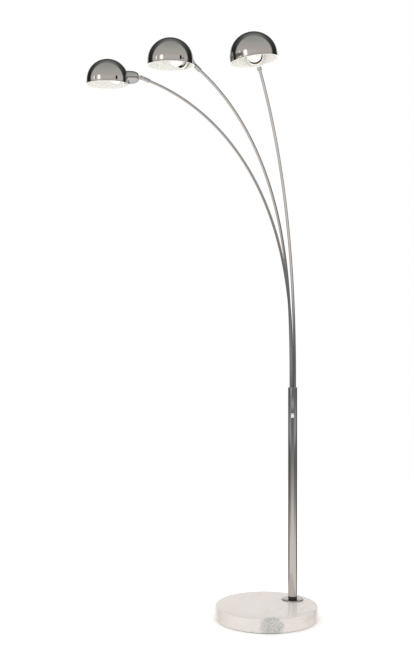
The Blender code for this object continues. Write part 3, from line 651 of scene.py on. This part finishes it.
def block(name, low, high, matrix=Matrix()):
    """A box between two corners, given in a frame."""
    obj = added(name, bpy.ops.mesh.primitive_cube_add, size=1)
    low, high = Vector(low), Vector(high)
    obj.matrix_world = matrix @ Matrix.Translation((low + high) / 2) @ Matrix.Diagonal((*(high - low), 1))
    return obj


def eased_block(name, low, high, ease):
    """A box whose every edge is rounded."""
    obj = block(name, low, high)
    bpy.ops.object.transform_apply(location=True, rotation=True, scale=True)
    edit(obj, "EDGE")
    bpy.ops.mesh.select_all(action="SELECT")
    bpy.ops.mesh.bevel(offset=ease, segments=3, profile=0.5)
    done()
    return obj


def arc(centre, radius, start, end, count):
    """Points on an arc in an outline's plane, in degrees from the radial axis."""
    turns = [math.radians(start + (end - start) * k / count) for k in range(count + 1)]
    return [(centre[0] + radius * math.cos(t), centre[1] + radius * math.sin(t)) for t in turns]


def rounded_ring(outer, inner, low, high, ease):
    """The loop of a ring's cross-section, with its two outer corners rounded."""
    loop = [(inner, low)] + arc((outer - ease, low + ease), ease, -90, 0, 5)
    return loop + arc((outer - ease, high - ease), ease, 0, 90, 5) + [(inner, high)]


def settle(obj, matrix=Matrix(), angle=30):
    """Shades a piece and moves it from its own origin to its place, which is kept in its mesh."""
    only(obj)
    bpy.ops.object.shade_smooth_by_angle(angle=math.radians(angle))
    obj.matrix_world = matrix
    bpy.ops.object.transform_apply(location=True, rotation=True, scale=True)
    return obj


def dress(obj, body, slot, replaced):
    """Gives a piece its finish and its body, and lets it stand for a frame node."""
    if not obj.data.materials:
        obj.data.materials.append(finish(slot))
    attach(obj, body)
    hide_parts(replaced)
    return obj


# ---------------------------------------------------------------- places in the frame
ABOUT_X = Matrix.Rotation(math.pi / 2, 4, "Y")  # turns a piece about Z into one about X
ABOUT_Y = Matrix.Rotation(-math.pi / 2, 4, "X")  # turns a piece about Z into one about Y
AT_POST = Matrix.Translation(POST_AXIS)


def joint_vector(joint, key):
    return Vector(JOINTS[joint][key])


def frame_of(origin, x_axis, y_axis):
    turn = Matrix((x_axis, y_axis, x_axis.cross(y_axis))).transposed().to_4x4()
    return Matrix.Translation(origin) @ turn


def head_frame(name):
    """A head's frame: the tilt pin's middle, +X level towards the bulb, and Z the shade's own up."""
    pivot = joint_vector("shade_tilt_" + name, "pos_m")
    points = [v.co for v in frame["nodes"]["bulb_" + name].data.vertices]
    facing = sum(points, Vector()) / len(points) - pivot
    facing = Vector((facing.x, facing.y, 0)).normalized()
    side = Vector((0, 0, 1)).cross(facing)
    return frame_of(pivot, facing, side) @ Matrix.Rotation(HEAD_ROLL[name], 4, "X")


def sleeve_frame(name):
    """A sleeve's frame: the tilt pin's middle, +X along the arm and Y along the pin."""
    along = joint_vector("sleeve_turn_" + name, "axis").normalized()
    pin = joint_vector("shade_tilt_" + name, "axis").normalized()
    return frame_of(joint_vector("shade_tilt_" + name, "pos_m"), along, pin)


def switch_frame(origin):
    """The switch's frame: +X points out of the post and Y is the rocker's pin."""
    pin = joint_vector("switch_rock", "axis").normalized()
    return frame_of(origin, pin.cross(Vector((0, 0, 1))), pin)


def arm_line(name, sizes, steps=216):
    """The middle line of one arm: straight in the holder, then a curve that leans over more and more."""
    foot = joint_vector("arm_swivel_" + name, "pos_m")
    along = joint_vector("sleeve_turn_" + name, "axis").normalized()
    level = Vector((along.x, along.y, 0)).normalized()
    end_lean = math.acos(along.z)
    reach, bend = getattr(sizes, name + "_length"), getattr(sizes, name + "_bend")
    spot = foot.copy()
    line = [Vector((foot.x, foot.y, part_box("arm_tube_" + name)[0].z)), spot.copy()]
    for k in range(steps):
        lean = end_lean * ((k + 0.5) / steps) ** bend
        spot += reach / steps * (math.sin(lean) * level + math.cos(lean) * Vector((0, 0, 1)))
        if k % 2:
            line.append(spot.copy())
    line.append(spot + sizes.straight_end * along)
    pivot = joint_vector("shade_tilt_" + name, "pos_m")
    if ((pivot - spot).cross(along)).length > MM:
        raise RuntimeError(f"arm_{name} doesn't meet its sleeve")
    return line


# ---------------------------------------------------------------- operators
class LAMP_OT_stone_base(bpy.types.Operator):
    """Model the polished marble disc with its eased edges"""

    bl_idname = "lamp.stone_base"
    bl_label = "Stone base"

    def execute(self, context):
        sizes = context.scene.lamp_base
        low, high, edge, lower = BASE_LOW.z, BASE_HIGH.z, sizes.edge, sizes.lower_edge
        outline = [(0, low), (0.5 * BASE_RADIUS, low)]
        outline += arc((BASE_RADIUS - lower, low + lower), lower, -90, 0, 4)
        outline += arc((BASE_RADIUS - edge, high - edge), edge, 0, 90, 9)
        outline += [(0.6 * BASE_RADIUS, high), (0, high)]
        stone = spun("stone_disc", outline, 180)
        washer_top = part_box("base_washer")[1].z
        half = sizes.groove / 2
        carve(stone, "pipe_hole", cylinder("cutter", sizes.pipe_hole, -MM, high + MM, AT_POST, 32))
        carve(stone, "counterbore", cylinder("cutter", sizes.counterbore, -MM, washer_top + HAIR, AT_POST))
        groove = block("cutter", (POST_AXIS.x, -half, 0), (BASE_RADIUS + MM, half, low + sizes.groove_height))
        carve(stone, "cable_groove", groove)
        dress(settle(stone), "stand", "marble", "marble_base")
        return {"FINISHED"}


class LAMP_OT_post(bpy.types.Operator):
    """Model the post, its foot and the cap that the arms come out of"""

    bl_idname = "lamp.post"
    bl_label = "Post and foot"

    def execute(self, context):
        sizes = context.scene.lamp_base
        radius, bore = POST_RADIUS - HAIR, POST_RADIUS - sizes.post_wall
        tube = spun("post", rounded_ring(radius, bore, POST_LOW.z, POST_HIGH.z, sizes.ease), 96)
        settle(tube, AT_POST)
        pin_height = joint_vector("switch_rock", "pos_m").z
        window = Vector((POST_RADIUS, *WINDOW_HALF))
        at_switch = switch_frame(POST_AXIS + Vector((0, 0, pin_height)))
        low, high = (bore / 2, -window.y, -window.z), (2 * window.x, window.y, window.z)
        carve(tube, "switch_window", block("cutter", low, high, at_switch))
        dress(settle(tube), "stand", "chrome", "post_tube")

        rim = FLANGE_RADIUS - HAIR
        plate = rounded_ring(rim, sizes.pipe_hole, FLANGE_LOW.z, FLANGE_HIGH.z, sizes.flange_edge)
        dress(settle(spun("flange_plate", plate, 96), AT_POST), "stand", "chrome", "foot_flange")
        collar_radius = (COLLAR_HIGH.x - COLLAR_LOW.x) / 2 - HAIR
        collar = rounded_ring(collar_radius, sizes.pipe_hole, COLLAR_LOW.z, COLLAR_HIGH.z, 2 * sizes.ease)
        dress(settle(spun("collar", collar), AT_POST), "stand", "black_plastic", "foot_collar")
        self.make_holder(sizes)
        return {"FINISHED"}

    def make_holder(self, sizes):
        """The plug in the post's end: a chrome cap with the three holes that the arms turn in."""
        rim = POST_RADIUS - HAIR
        insert, foot = rim - sizes.post_wall - GAP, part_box("arm_holder")[0].z
        seat = POST_HIGH.z + GAP
        outline = [(0, foot), (insert, foot), (insert, seat), (rim, seat)]
        outline += arc((rim - sizes.ease, POST_TOP - sizes.ease), sizes.ease, 0, 90, 5) + [(0, POST_TOP)]
        cap = settle(spun("arm_holder_cap", outline, 96), AT_POST)
        for name in ARMS:
            arm = joint_vector("arm_swivel_" + name, "pos_m")
            at_arm = Matrix.Translation((arm.x, arm.y, 0))
            hole = cylinder("cutter", sizes.arm_hole, foot - MM, POST_TOP + MM, at_arm)
            carve(cap, "arm_hole_" + name, hole)
        dress(settle(cap), "stand", "chrome", "arm_holder")


class LAMP_OT_switch(bpy.types.Operator):
    """Model the small white rocker switch"""

    bl_idname = "lamp.switch"
    bl_label = "Rocker switch"

    def execute(self, context):
        sizes = context.scene.lamp_switch
        pivot = joint_vector("switch_rock", "pos_m")
        middle = Vector((POST_AXIS.x, POST_AXIS.y, pivot.z))
        back = POST_RADIUS + GAP
        front = back + sizes.plate
        half_width, half_height = sizes.width / 2, sizes.height / 2
        corner, opposite = (back, -half_width, -half_height), (front, half_width, half_height)
        plate = eased_block("switch_plate", corner, opposite, PLATE_EASE)
        inset = MM
        housing = block(
            "housing", (back - sizes.depth, inset - half_width, inset - half_height),
            (back + sizes.plate / 2, half_width - inset, half_height - inset),
        )
        carve(plate, "join_housing", housing, "UNION")
        half_pocket = Vector((0, *POCKET_HALF))
        rear, mouth = Vector((front - POCKET_DEPTH, 0, 0)), Vector((front + MM, 0, 0))
        pocket = block("cutter", rear - half_pocket, mouth + half_pocket)
        carve(plate, "pocket", pocket)
        dress(settle(plate, switch_frame(middle)), "stand", "white_plastic", "switch_bezel")
        self.make_key(sizes, pivot)
        return {"FINISHED"}

    def make_key(self, sizes, pivot):
        """The key: a block with a crease along its pin in front and a ridge behind, and eased edges."""
        (half_width, half), crease, peak, heel = KEY_HALF, KEY_CREASE, KEY_PEAK, KEY_HEEL
        key = block("switch_key", (-heel, -half_width, -half), (peak, half_width, half))
        bpy.ops.object.transform_apply(location=True, rotation=True, scale=True)
        edit(key, "FACE")
        bpy.ops.mesh.select_all(action="SELECT")
        bpy.ops.mesh.bisect(plane_co=(0, 0, 0), plane_no=(0, 0, 1))
        bpy.ops.mesh.select_mode(type="VERT")
        for face_at, move in ((peak, crease - peak), (-heel, -heel)):
            pick(key, "verts", lambda at, x=face_at: abs(at.z) < WELD and abs(at.x - x) < WELD)
            bpy.ops.transform.translate(value=(move, 0, 0))
        bpy.ops.mesh.select_mode(type="EDGE")
        pick(key, "edges", lambda at: abs(at.z) > WELD or abs(at.y) > half_width - WELD)
        bpy.ops.mesh.bevel(offset=KEY_EASE, segments=3, profile=0.5)
        done()
        turn = Matrix.Rotation(sizes.tilt, 4, "Y")
        dress(settle(clean(key), switch_frame(pivot) @ turn), "rocker", "white_plastic", "switch_rocker")


class LAMP_OT_arms(bpy.types.Operator):
    """Model the three curved chrome tubes"""

    bl_idname = "lamp.arms"
    bl_label = "Curved arms"

    def execute(self, context):
        sizes = context.scene.lamp_arms
        for name in ARMS:
            tube = self.sweep("arm_" + name, arm_line(name, sizes), sizes.tube_radius - HAIR, sizes.tube_wall)
            dress(settle(tube, angle=60), "arm_" + name, "chrome", "arm_tube_" + name)
        return {"FINISHED"}

    def sweep(self, name, line, radius, wall):
        """A round tube along a line: a curve with a round bevel, made a mesh and given its wall."""
        obj = added(name, bpy.ops.curve.primitive_bezier_curve_add)
        curve = obj.data
        curve.splines.clear()
        spline = curve.splines.new("POLY")
        spline.points.add(len(line) - 1)
        for point, at in zip(spline.points, line):
            point.co = (*at, 1)
        curve.bevel_depth = radius
        curve.bevel_resolution = 8
        bpy.ops.object.convert(target="MESH")
        return apply_modifier(clean(bpy.context.object), "wall", "SOLIDIFY", thickness=wall, offset=-1)


class LAMP_OT_sleeves(bpy.types.Operator):
    """Model the forked sleeves on the arms' ends and their tilt pins"""

    bl_idname = "lamp.sleeves"
    bl_label = "Sleeves and pins"

    def execute(self, context):
        sizes = context.scene.lamp_arms
        for name in ARMS:
            at = sleeve_frame(name)
            dress(settle(self.sleeve(name, sizes), at), "sleeve_" + name, "chrome", "swivel_sleeve_" + name)
            pin = settle(self.pin(name, sizes), at @ ABOUT_Y)
            dress(pin, "sleeve_" + name, "chrome", "pivot_screw_" + name)
        return {"FINISHED"}

    def sleeve(self, name, sizes):
        """A turned sleeve with two fine grooves, slotted and flattened to a fork with a round nose."""
        mouth, radius, edge = -sizes.sleeve_length, sizes.sleeve_radius - HAIR, sizes.edge
        bore, floor, tip = sizes.tube_radius + GAP, mouth + sizes.arm_in_sleeve + MM, sizes.fork_tip
        outline = [(0, floor), (bore, floor), (bore, mouth)]
        outline += arc((radius - edge, mouth + edge), edge, -90, 0, 5)
        for groove in SLEEVE_GROOVES:
            outline += arc((radius, mouth + groove), GROOVE_RADIUS, -90, -270, 6)
        outline += [(radius, tip), (0, tip)]
        sleeve = spun("sleeve_" + name, outline, 64)
        only(sleeve)
        sleeve.matrix_world = ABOUT_X
        bpy.ops.object.transform_apply(location=True, rotation=True, scale=True)
        root, half_slot, half_fork = -sizes.fork_root, sizes.half_slot, sizes.fork_width / 2
        wide = 2 * radius
        carve(sleeve, "slot", block("cutter", (root, -half_slot, -wide), (wide, half_slot, wide)))
        carve(sleeve, "flat_left", block("cutter", (root, half_fork, -wide), (wide, wide, wide)))
        carve(sleeve, "flat_right", block("cutter", (root, -wide, -wide), (wide, -half_fork, wide)))
        nose = cylinder("cutter", 4 * radius, -wide, wide, ABOUT_Y, 64)
        carve(nose, "hollow", cylinder("cutter", tip, -2 * wide, 2 * wide, ABOUT_Y, 64))
        carve(nose, "front", block("cutter", (0, -wide, -4 * wide), (4 * wide, wide, 4 * wide)), "INTERSECT")
        carve(sleeve, "nose", nose)
        carve(sleeve, "pin_hole", cylinder("cutter", sizes.pin_radius + PIN_SLACK, -wide, wide, ABOUT_Y, 32))
        screw_at = Matrix.Translation((mouth + sizes.arm_in_sleeve / 2, 0, 0))
        screw_at = screw_at @ Matrix.Rotation(math.pi, 4, "X")
        return carve(sleeve, "screw_hole", cylinder("cutter", SCREW_HOLE, bore / 2, wide, screw_at, 32))

    def pin(self, name, sizes):
        """The screw through the fork: a domed head with a slot."""
        seat, shank = sizes.fork_width / 2 + GAP, sizes.pin_radius - HAIR
        end, head, rise = seat + PIN_TAIL, PIN_HEAD, PIN_HEAD_RISE
        outline = [(0, -end), (shank, -end), (shank, seat), (head, seat)]
        for turn in (math.radians(9 * k) for k in range(10)):
            outline.append((head * math.cos(turn), seat + PIN_BRIM + (rise - PIN_BRIM) * math.sin(turn)))
        outline.append((0, seat + rise))
        pin = spun("tilt_pin_" + name, outline, 48)
        half_length, half_width, bottom = DRIVER_SLOT
        low, high = (-half_length, -half_width, seat + bottom), (half_length, half_width, seat + half_length)
        slot = block("cutter", low, high)
        return carve(pin, "driver_slot", slot)


class LAMP_OT_cups(bpy.types.Operator):
    """Model the rounded cups behind the shades, with the white rings that hold the shades"""

    bl_idname = "lamp.cups"
    bl_label = "Cups and rings"

    def execute(self, context):
        sizes = context.scene.lamp_shades
        for name in ARMS:
            at, head = head_frame(name) @ ABOUT_X, "head_" + name
            dress(settle(self.cup(name, sizes), at), head, "chrome", "cup_" + name)
            low, high = self.ring_span(sizes)
            ring = rounded_ring(RING_RADIUS - HAIR, sizes.cup_radius + GAP, low, high, RING_EASE)
            dress(settle(spun("ring_" + name, ring, 96), at), head, "enamel", "shade_ring_" + name)
        return {"FINISHED"}

    def ring_span(self, sizes):
        mouth = sizes.pivot_to_dome - sizes.cup_inside
        return mouth - RING_BEHIND_MOUTH, mouth + RING_AHEAD_OF_MOUTH

    def cup(self, name, sizes):
        """A spun cup: flat rear, rounded shoulder, straight wall and a rolled mouth."""
        mouth = sizes.pivot_to_dome - sizes.cup_inside
        rear, depth = sizes.cup_rear_radius, sizes.cup_shoulder
        radial, shoulder = sizes.cup_radius - HAIR - rear, sizes.cup_rear + depth
        wall, count = sizes.cup_wall, 14
        slopes = [math.pi / 2 * k / count for k in range(count + 1)]
        outer = [(rear + radial * math.sin(t), shoulder - depth * math.cos(t)) for t in slopes]
        inner = [(r - wall * math.sin(t), x + wall * math.cos(t)) for (r, x), t in zip(outer, slopes)]
        hole, edge = sizes.shank_radius + GAP, wall / 2
        rolled = arc((outer[-1][0] - edge, mouth - edge), edge, 0, 180, 8)
        outline = [(hole, sizes.cup_rear)] + outer + rolled + inner[::-1] + [(hole, sizes.cup_rear + wall)]
        return spun("cup_shell_" + name, outline, 96)


class LAMP_OT_shades(bpy.types.Operator):
    """Model the domed shades, chromed outside and white inside"""

    bl_idname = "lamp.shades"
    bl_label = "Domed shades"

    def execute(self, context):
        sizes = context.scene.lamp_shades
        for name in ARMS:
            shade = self.dome(name, sizes)
            at_dome = Matrix.Translation((sizes.pivot_to_dome, 0, -sizes.cup_height))
            reach = sizes.pivot_to_dome - 2 * sizes.dome_radius
            hole = cylinder(
                "cutter", sizes.cup_radius + GAP, reach, sizes.pivot_to_dome - sizes.cup_inside + MM,
                at_dome.inverted() @ ABOUT_X, 72,
            )
            carve(shade, "cup_hole", hole)
            self.paint_inside(shade, sizes)
            dress(settle(shade, head_frame(name) @ at_dome), "head_" + name, "chrome", "shade_" + name)
        return {"FINISHED"}

    def dome(self, name, sizes):
        """A spun dome with a straight skirt and a small flared lip, in one sheet."""
        outer, wall, lip = sizes.dome_radius - HAIR, sizes.wall, sizes.lip_radius - HAIR
        inner, count, flare = outer - wall, 44, lip - outer
        outline = arc((0, sizes.skirt), outer, 90, 0, count)
        outline[0] = (0, outline[0][1])
        outline += [(outer, 0.6 * sizes.skirt), (outer, sizes.lip_height)]
        top = sizes.lip_height
        for turn in (math.radians(15 * k) for k in range(1, 7)):
            outline.append((outer + flare * (1 - math.cos(turn)), top - (top - LIP_EDGE) * math.sin(turn)))
        outline += arc((lip - LIP_ROUND, LIP_ROUND), LIP_ROUND, 0, -90, 4)
        outline += [(lip - 0.6 * flare, HAIR), (inner + 0.6 * MM, LIP_EDGE), (inner, top)]
        inside = arc((0, sizes.skirt), inner, 0, 90, count)
        inside[-1] = (0, inside[-1][1])
        return spun("shade_shell_" + name, outline + inside, 144)

    def paint_inside(self, shade, sizes):
        """Chrome outside, white enamel inside and under the lip."""
        shade.data.materials.append(finish("chrome"))
        shade.data.materials.append(finish("enamel"))
        centre = Vector((0, 0, sizes.skirt))
        middle = sizes.dome_radius - sizes.wall / 2
        for face in shade.data.polygons:
            out = face.center - centre
            if face.center.z < sizes.skirt:
                out.z = 0
            under_lip = face.center.z < LIP_EDGE + HAIR and face.normal.z < -0.2
            face.material_index = int(out.length < middle or under_lip)


class LAMP_OT_bulbs(bpy.types.Operator):
    """Model the globe lamps and the porcelain holders they screw into"""

    bl_idname = "lamp.bulbs"
    bl_label = "Globes and holders"

    def execute(self, context):
        sizes = context.scene.lamp_shades
        for name in ARMS:
            at, head = head_frame(name) @ ABOUT_X, "head_" + name
            dress(settle(self.globe(name, sizes), at), head, "opal_glass", "bulb_" + name)
            dress(settle(self.holder(name, sizes), at), head, "porcelain", "lamp_holder_" + name)
        return {"FINISHED"}

    def globe(self, name, sizes):
        """A globe that runs straight into its neck."""
        centre = sizes.pivot_to_dome - sizes.bulb_from_axis
        radius, neck = sizes.bulb_radius - HAIR, sizes.bulb_neck_radius
        neck_turn = math.degrees(math.acos(neck / radius))
        globe = arc((0, centre), radius, 90, -neck_turn, 32)
        foot = centre - sizes.bulb_neck_length
        outline = [(0, globe[0][1])] + globe[1:]
        outline += [(neck - HAIR, foot + 0.4 * MM), (neck - 0.5 * MM, foot), (0, foot)]
        return spun("globe_" + name, outline, 72)

    def holder(self, name, sizes):
        """The holder: a porcelain barrel with a collar, hollow for the lamp's cap."""
        cap_front = sizes.pivot_to_dome - sizes.bulb_from_axis - sizes.bulb_neck_length - GAP
        radius, barrel = HOLDER_RADIUS - HAIR, HOLDER_BARREL
        rear = cap_front - CAP_LENGTH - HOLDER_REAR
        front, floor = rear + HOLDER_LENGTH, rear + HOLDER_FLOOR
        neck, bore = sizes.bulb_neck_radius + GAP, HOLDER_BORE
        outline = [(0, rear), (barrel - MM, rear), (barrel, rear + MM)]
        outline += [(barrel, front - 8 * MM), (radius, front - 7 * MM)]
        outline += arc((radius - MM, front - MM), MM, 0, 90, 5)
        outline += [(neck, front), (neck, cap_front), (bore, cap_front), (bore, floor), (0, floor)]
        return spun("holder_" + name, outline)


class LAMP_OT_fittings(bpy.types.Operator):
    """Give the screws, nuts, leads and other carried-over pieces their finishes"""

    bl_idname = "lamp.fittings"
    bl_label = "Fittings"

    def execute(self, context):
        for part in frame["record"]["subparts"]:
            node = frame["nodes"][part["node"]]
            made = finish(part["material_slot"])
            if not node.material_slots:
                node.data.materials.append(made)
            for material_slot in node.material_slots:
                material_slot.material = made
        return {"FINISHED"}


class LAMP_OT_stage(bpy.types.Operator):
    """Set up the pale floor, the soft light and the camera"""

    bl_idname = "lamp.stage"
    bl_label = "Floor, light and camera"

    def execute(self, context):
        studio = context.scene.lamp_studio
        self.make_floor(studio)
        self.make_camera(studio)
        self.make_surroundings(studio)
        for name, strength, height, turn in (
            ("light_key", studio.key, 58, -60),
            ("light_fill", studio.fill, 50, 40),
            ("light_back", studio.back, 55, 170),
            ("light_floor_bounce", studio.bounce, -86, -10),
        ):
            self.make_sun(name, strength, math.radians(height), studio.camera_turn + math.radians(turn))
        context.scene.view_settings.view_transform = "Standard"
        return {"FINISHED"}

    def make_floor(self, studio):
        """A round pale floor that the light from below passes through and the chrome doesn't mirror."""
        circle = bpy.ops.mesh.primitive_circle_add
        floor = added("floor", circle, vertices=128, radius=studio.floor_radius, fill_type="NGON")
        made = new_material("pale_floor")
        n = Nodes(made.node_tree)
        tone = n.mix(n.noise(n.place(), 2, 2), (0.97, 0.965, 0.955), (0.955, 0.95, 0.94))
        n.shader(tone, 0.9, 0.0, **{"Specular IOR Level": 0.0})
        floor.data.materials.append(made)
        floor.visible_shadow = False
        floor.visible_glossy = False

    def make_camera(self, studio):
        only(None)
        turn = studio.camera_turn
        bpy.ops.object.camera_add(location=studio.camera_place, rotation=(math.pi / 2, 0, turn))
        camera = bpy.context.object
        camera.name = "camera"
        camera.data.lens = studio.lens
        camera.data.sensor_width = 36.0
        camera.data.shift_y = studio.camera_shift
        bpy.context.scene.camera = camera

    def make_sun(self, name, strength, height, turn):
        """A very soft distant light from a given height, which the chrome doesn't mirror."""
        only(None)
        bpy.ops.object.light_add(type="SUN", rotation=(math.pi / 2 - height, 0, turn))
        light = bpy.context.object
        light.name = name
        light.data.energy = strength
        light.data.angle = math.radians(100)
        light.visible_glossy = False

    def make_surroundings(self, studio):
        """White light all round. The chrome mirrors a grey room, paper beyond the lamp and soft windows."""
        world = bpy.data.worlds.new("studio_room")
        bpy.context.scene.world = world
        world.use_nodes = True
        world.node_tree.nodes.clear()
        n = Nodes(world.node_tree)
        direction = n.add("ShaderNodeTexCoord").outputs["Generated"]
        ahead = self.along(n, direction, self.bearing(studio, 180, 0))
        height = self.along(n, direction, Vector((0, 0, 1)))
        level = n.step(height, -1, 1)
        paper_end = n.ramp(level, (0.64, 1.0), (0.72, 0.0))
        far = n.math("MULTIPLY", n.step(ahead, 0.72, 0.86, "SMOOTHSTEP"), paper_end)
        beyond = n.mix(far, n.ramp(level, *SIDE_TONES), PAPER)
        seen = n.mix(n.step(ahead, 0.0, 0.24, "SMOOTHSTEP"), n.ramp(level, *ROOM_TONES), beyond)
        for bearing, rise, inner, outer, light in WINDOWS:
            near = self.along(n, direction, self.bearing(studio, bearing, rise))
            spot = n.step(near, math.cos(math.radians(outer)), math.cos(math.radians(inner)), "SMOOTHSTEP")
            seen = n.mix(spot, seen, light)
        mirrored = n.add("ShaderNodeBackground", None, color=seen, strength=1.0)
        paper = n.add("ShaderNodeBackground", None, color=(1, 1, 1, 1), strength=1.0)
        is_glossy = n.add("ShaderNodeLightPath").outputs["Is Glossy Ray"]
        mixed = n.add("ShaderNodeMixShader")
        output = n.add("ShaderNodeOutputWorld")
        for source, socket in (
            (is_glossy, mixed.inputs[0]), (paper.outputs[0], mixed.inputs[1]),
            (mirrored.outputs[0], mixed.inputs[2]), (mixed.outputs[0], output.inputs[0]),
        ):
            world.node_tree.links.new(source, socket)

    def bearing(self, studio, turn, rise):
        """A direction in degrees from behind the camera, positive to its right, and above the floor."""
        toward = studio.camera_turn - math.pi / 2 + math.radians(turn)
        level = math.cos(math.radians(rise))
        return Vector((level * math.cos(toward), level * math.sin(toward), math.sin(math.radians(rise))))

    def along(self, n, direction, axis):
        node = n.add("ShaderNodeVectorMath", {"operation": "DOT_PRODUCT"})
        n.tree.links.new(direction, node.inputs[0])
        node.inputs[1].default_value = axis
        return node.outputs["Value"]


# ---------------------------------------------------------------- panel, registration and main
PIECES = (
    LAMP_OT_stone_base, LAMP_OT_post, LAMP_OT_switch, LAMP_OT_arms, LAMP_OT_sleeves, LAMP_OT_cups,
    LAMP_OT_shades, LAMP_OT_bulbs, LAMP_OT_fittings, LAMP_OT_stage,
)


class LAMP_PT_panel(bpy.types.Panel):
    """The lamp's pieces and sizes"""

    bl_label = "Arc floor lamp"
    bl_idname = "LAMP_PT_panel"
    bl_space_type = "VIEW_3D"
    bl_region_type = "UI"
    bl_category = "Floor lamp"

    def draw(self, context):
        for piece in PIECES:
            self.layout.operator(piece.bl_idname)
        for group in GROUPS:
            values = getattr(context.scene, group)
            column = self.layout.column(align=True)
            for key in values.__annotations__:
                column.prop(values, key)


GROUPS = {
    "lamp_base": BaseSizes,
    "lamp_switch": SwitchSizes,
    "lamp_arms": ArmSizes,
    "lamp_shades": ShadeSizes,
    "lamp_finishes": Finishes,
    "lamp_studio": Studio,
}


def register():
    for made in (*GROUPS.values(), *PIECES, LAMP_PT_panel):
        bpy.utils.register_class(made)
    for name, group in GROUPS.items():
        setattr(bpy.types.Scene, name, bpy.props.PointerProperty(type=group))


def unregister():
    for name in GROUPS:
        delattr(bpy.types.Scene, name)
    for made in (LAMP_PT_panel, *reversed(PIECES), *reversed(GROUPS.values())):
        bpy.utils.unregister_class(made)


def main():
    register()
    for piece in PIECES:
        module, operator = piece.bl_idname.split(".")
        getattr(getattr(bpy.ops, module), operator)()
    only(None)


if __name__ == "__main__":
    main()
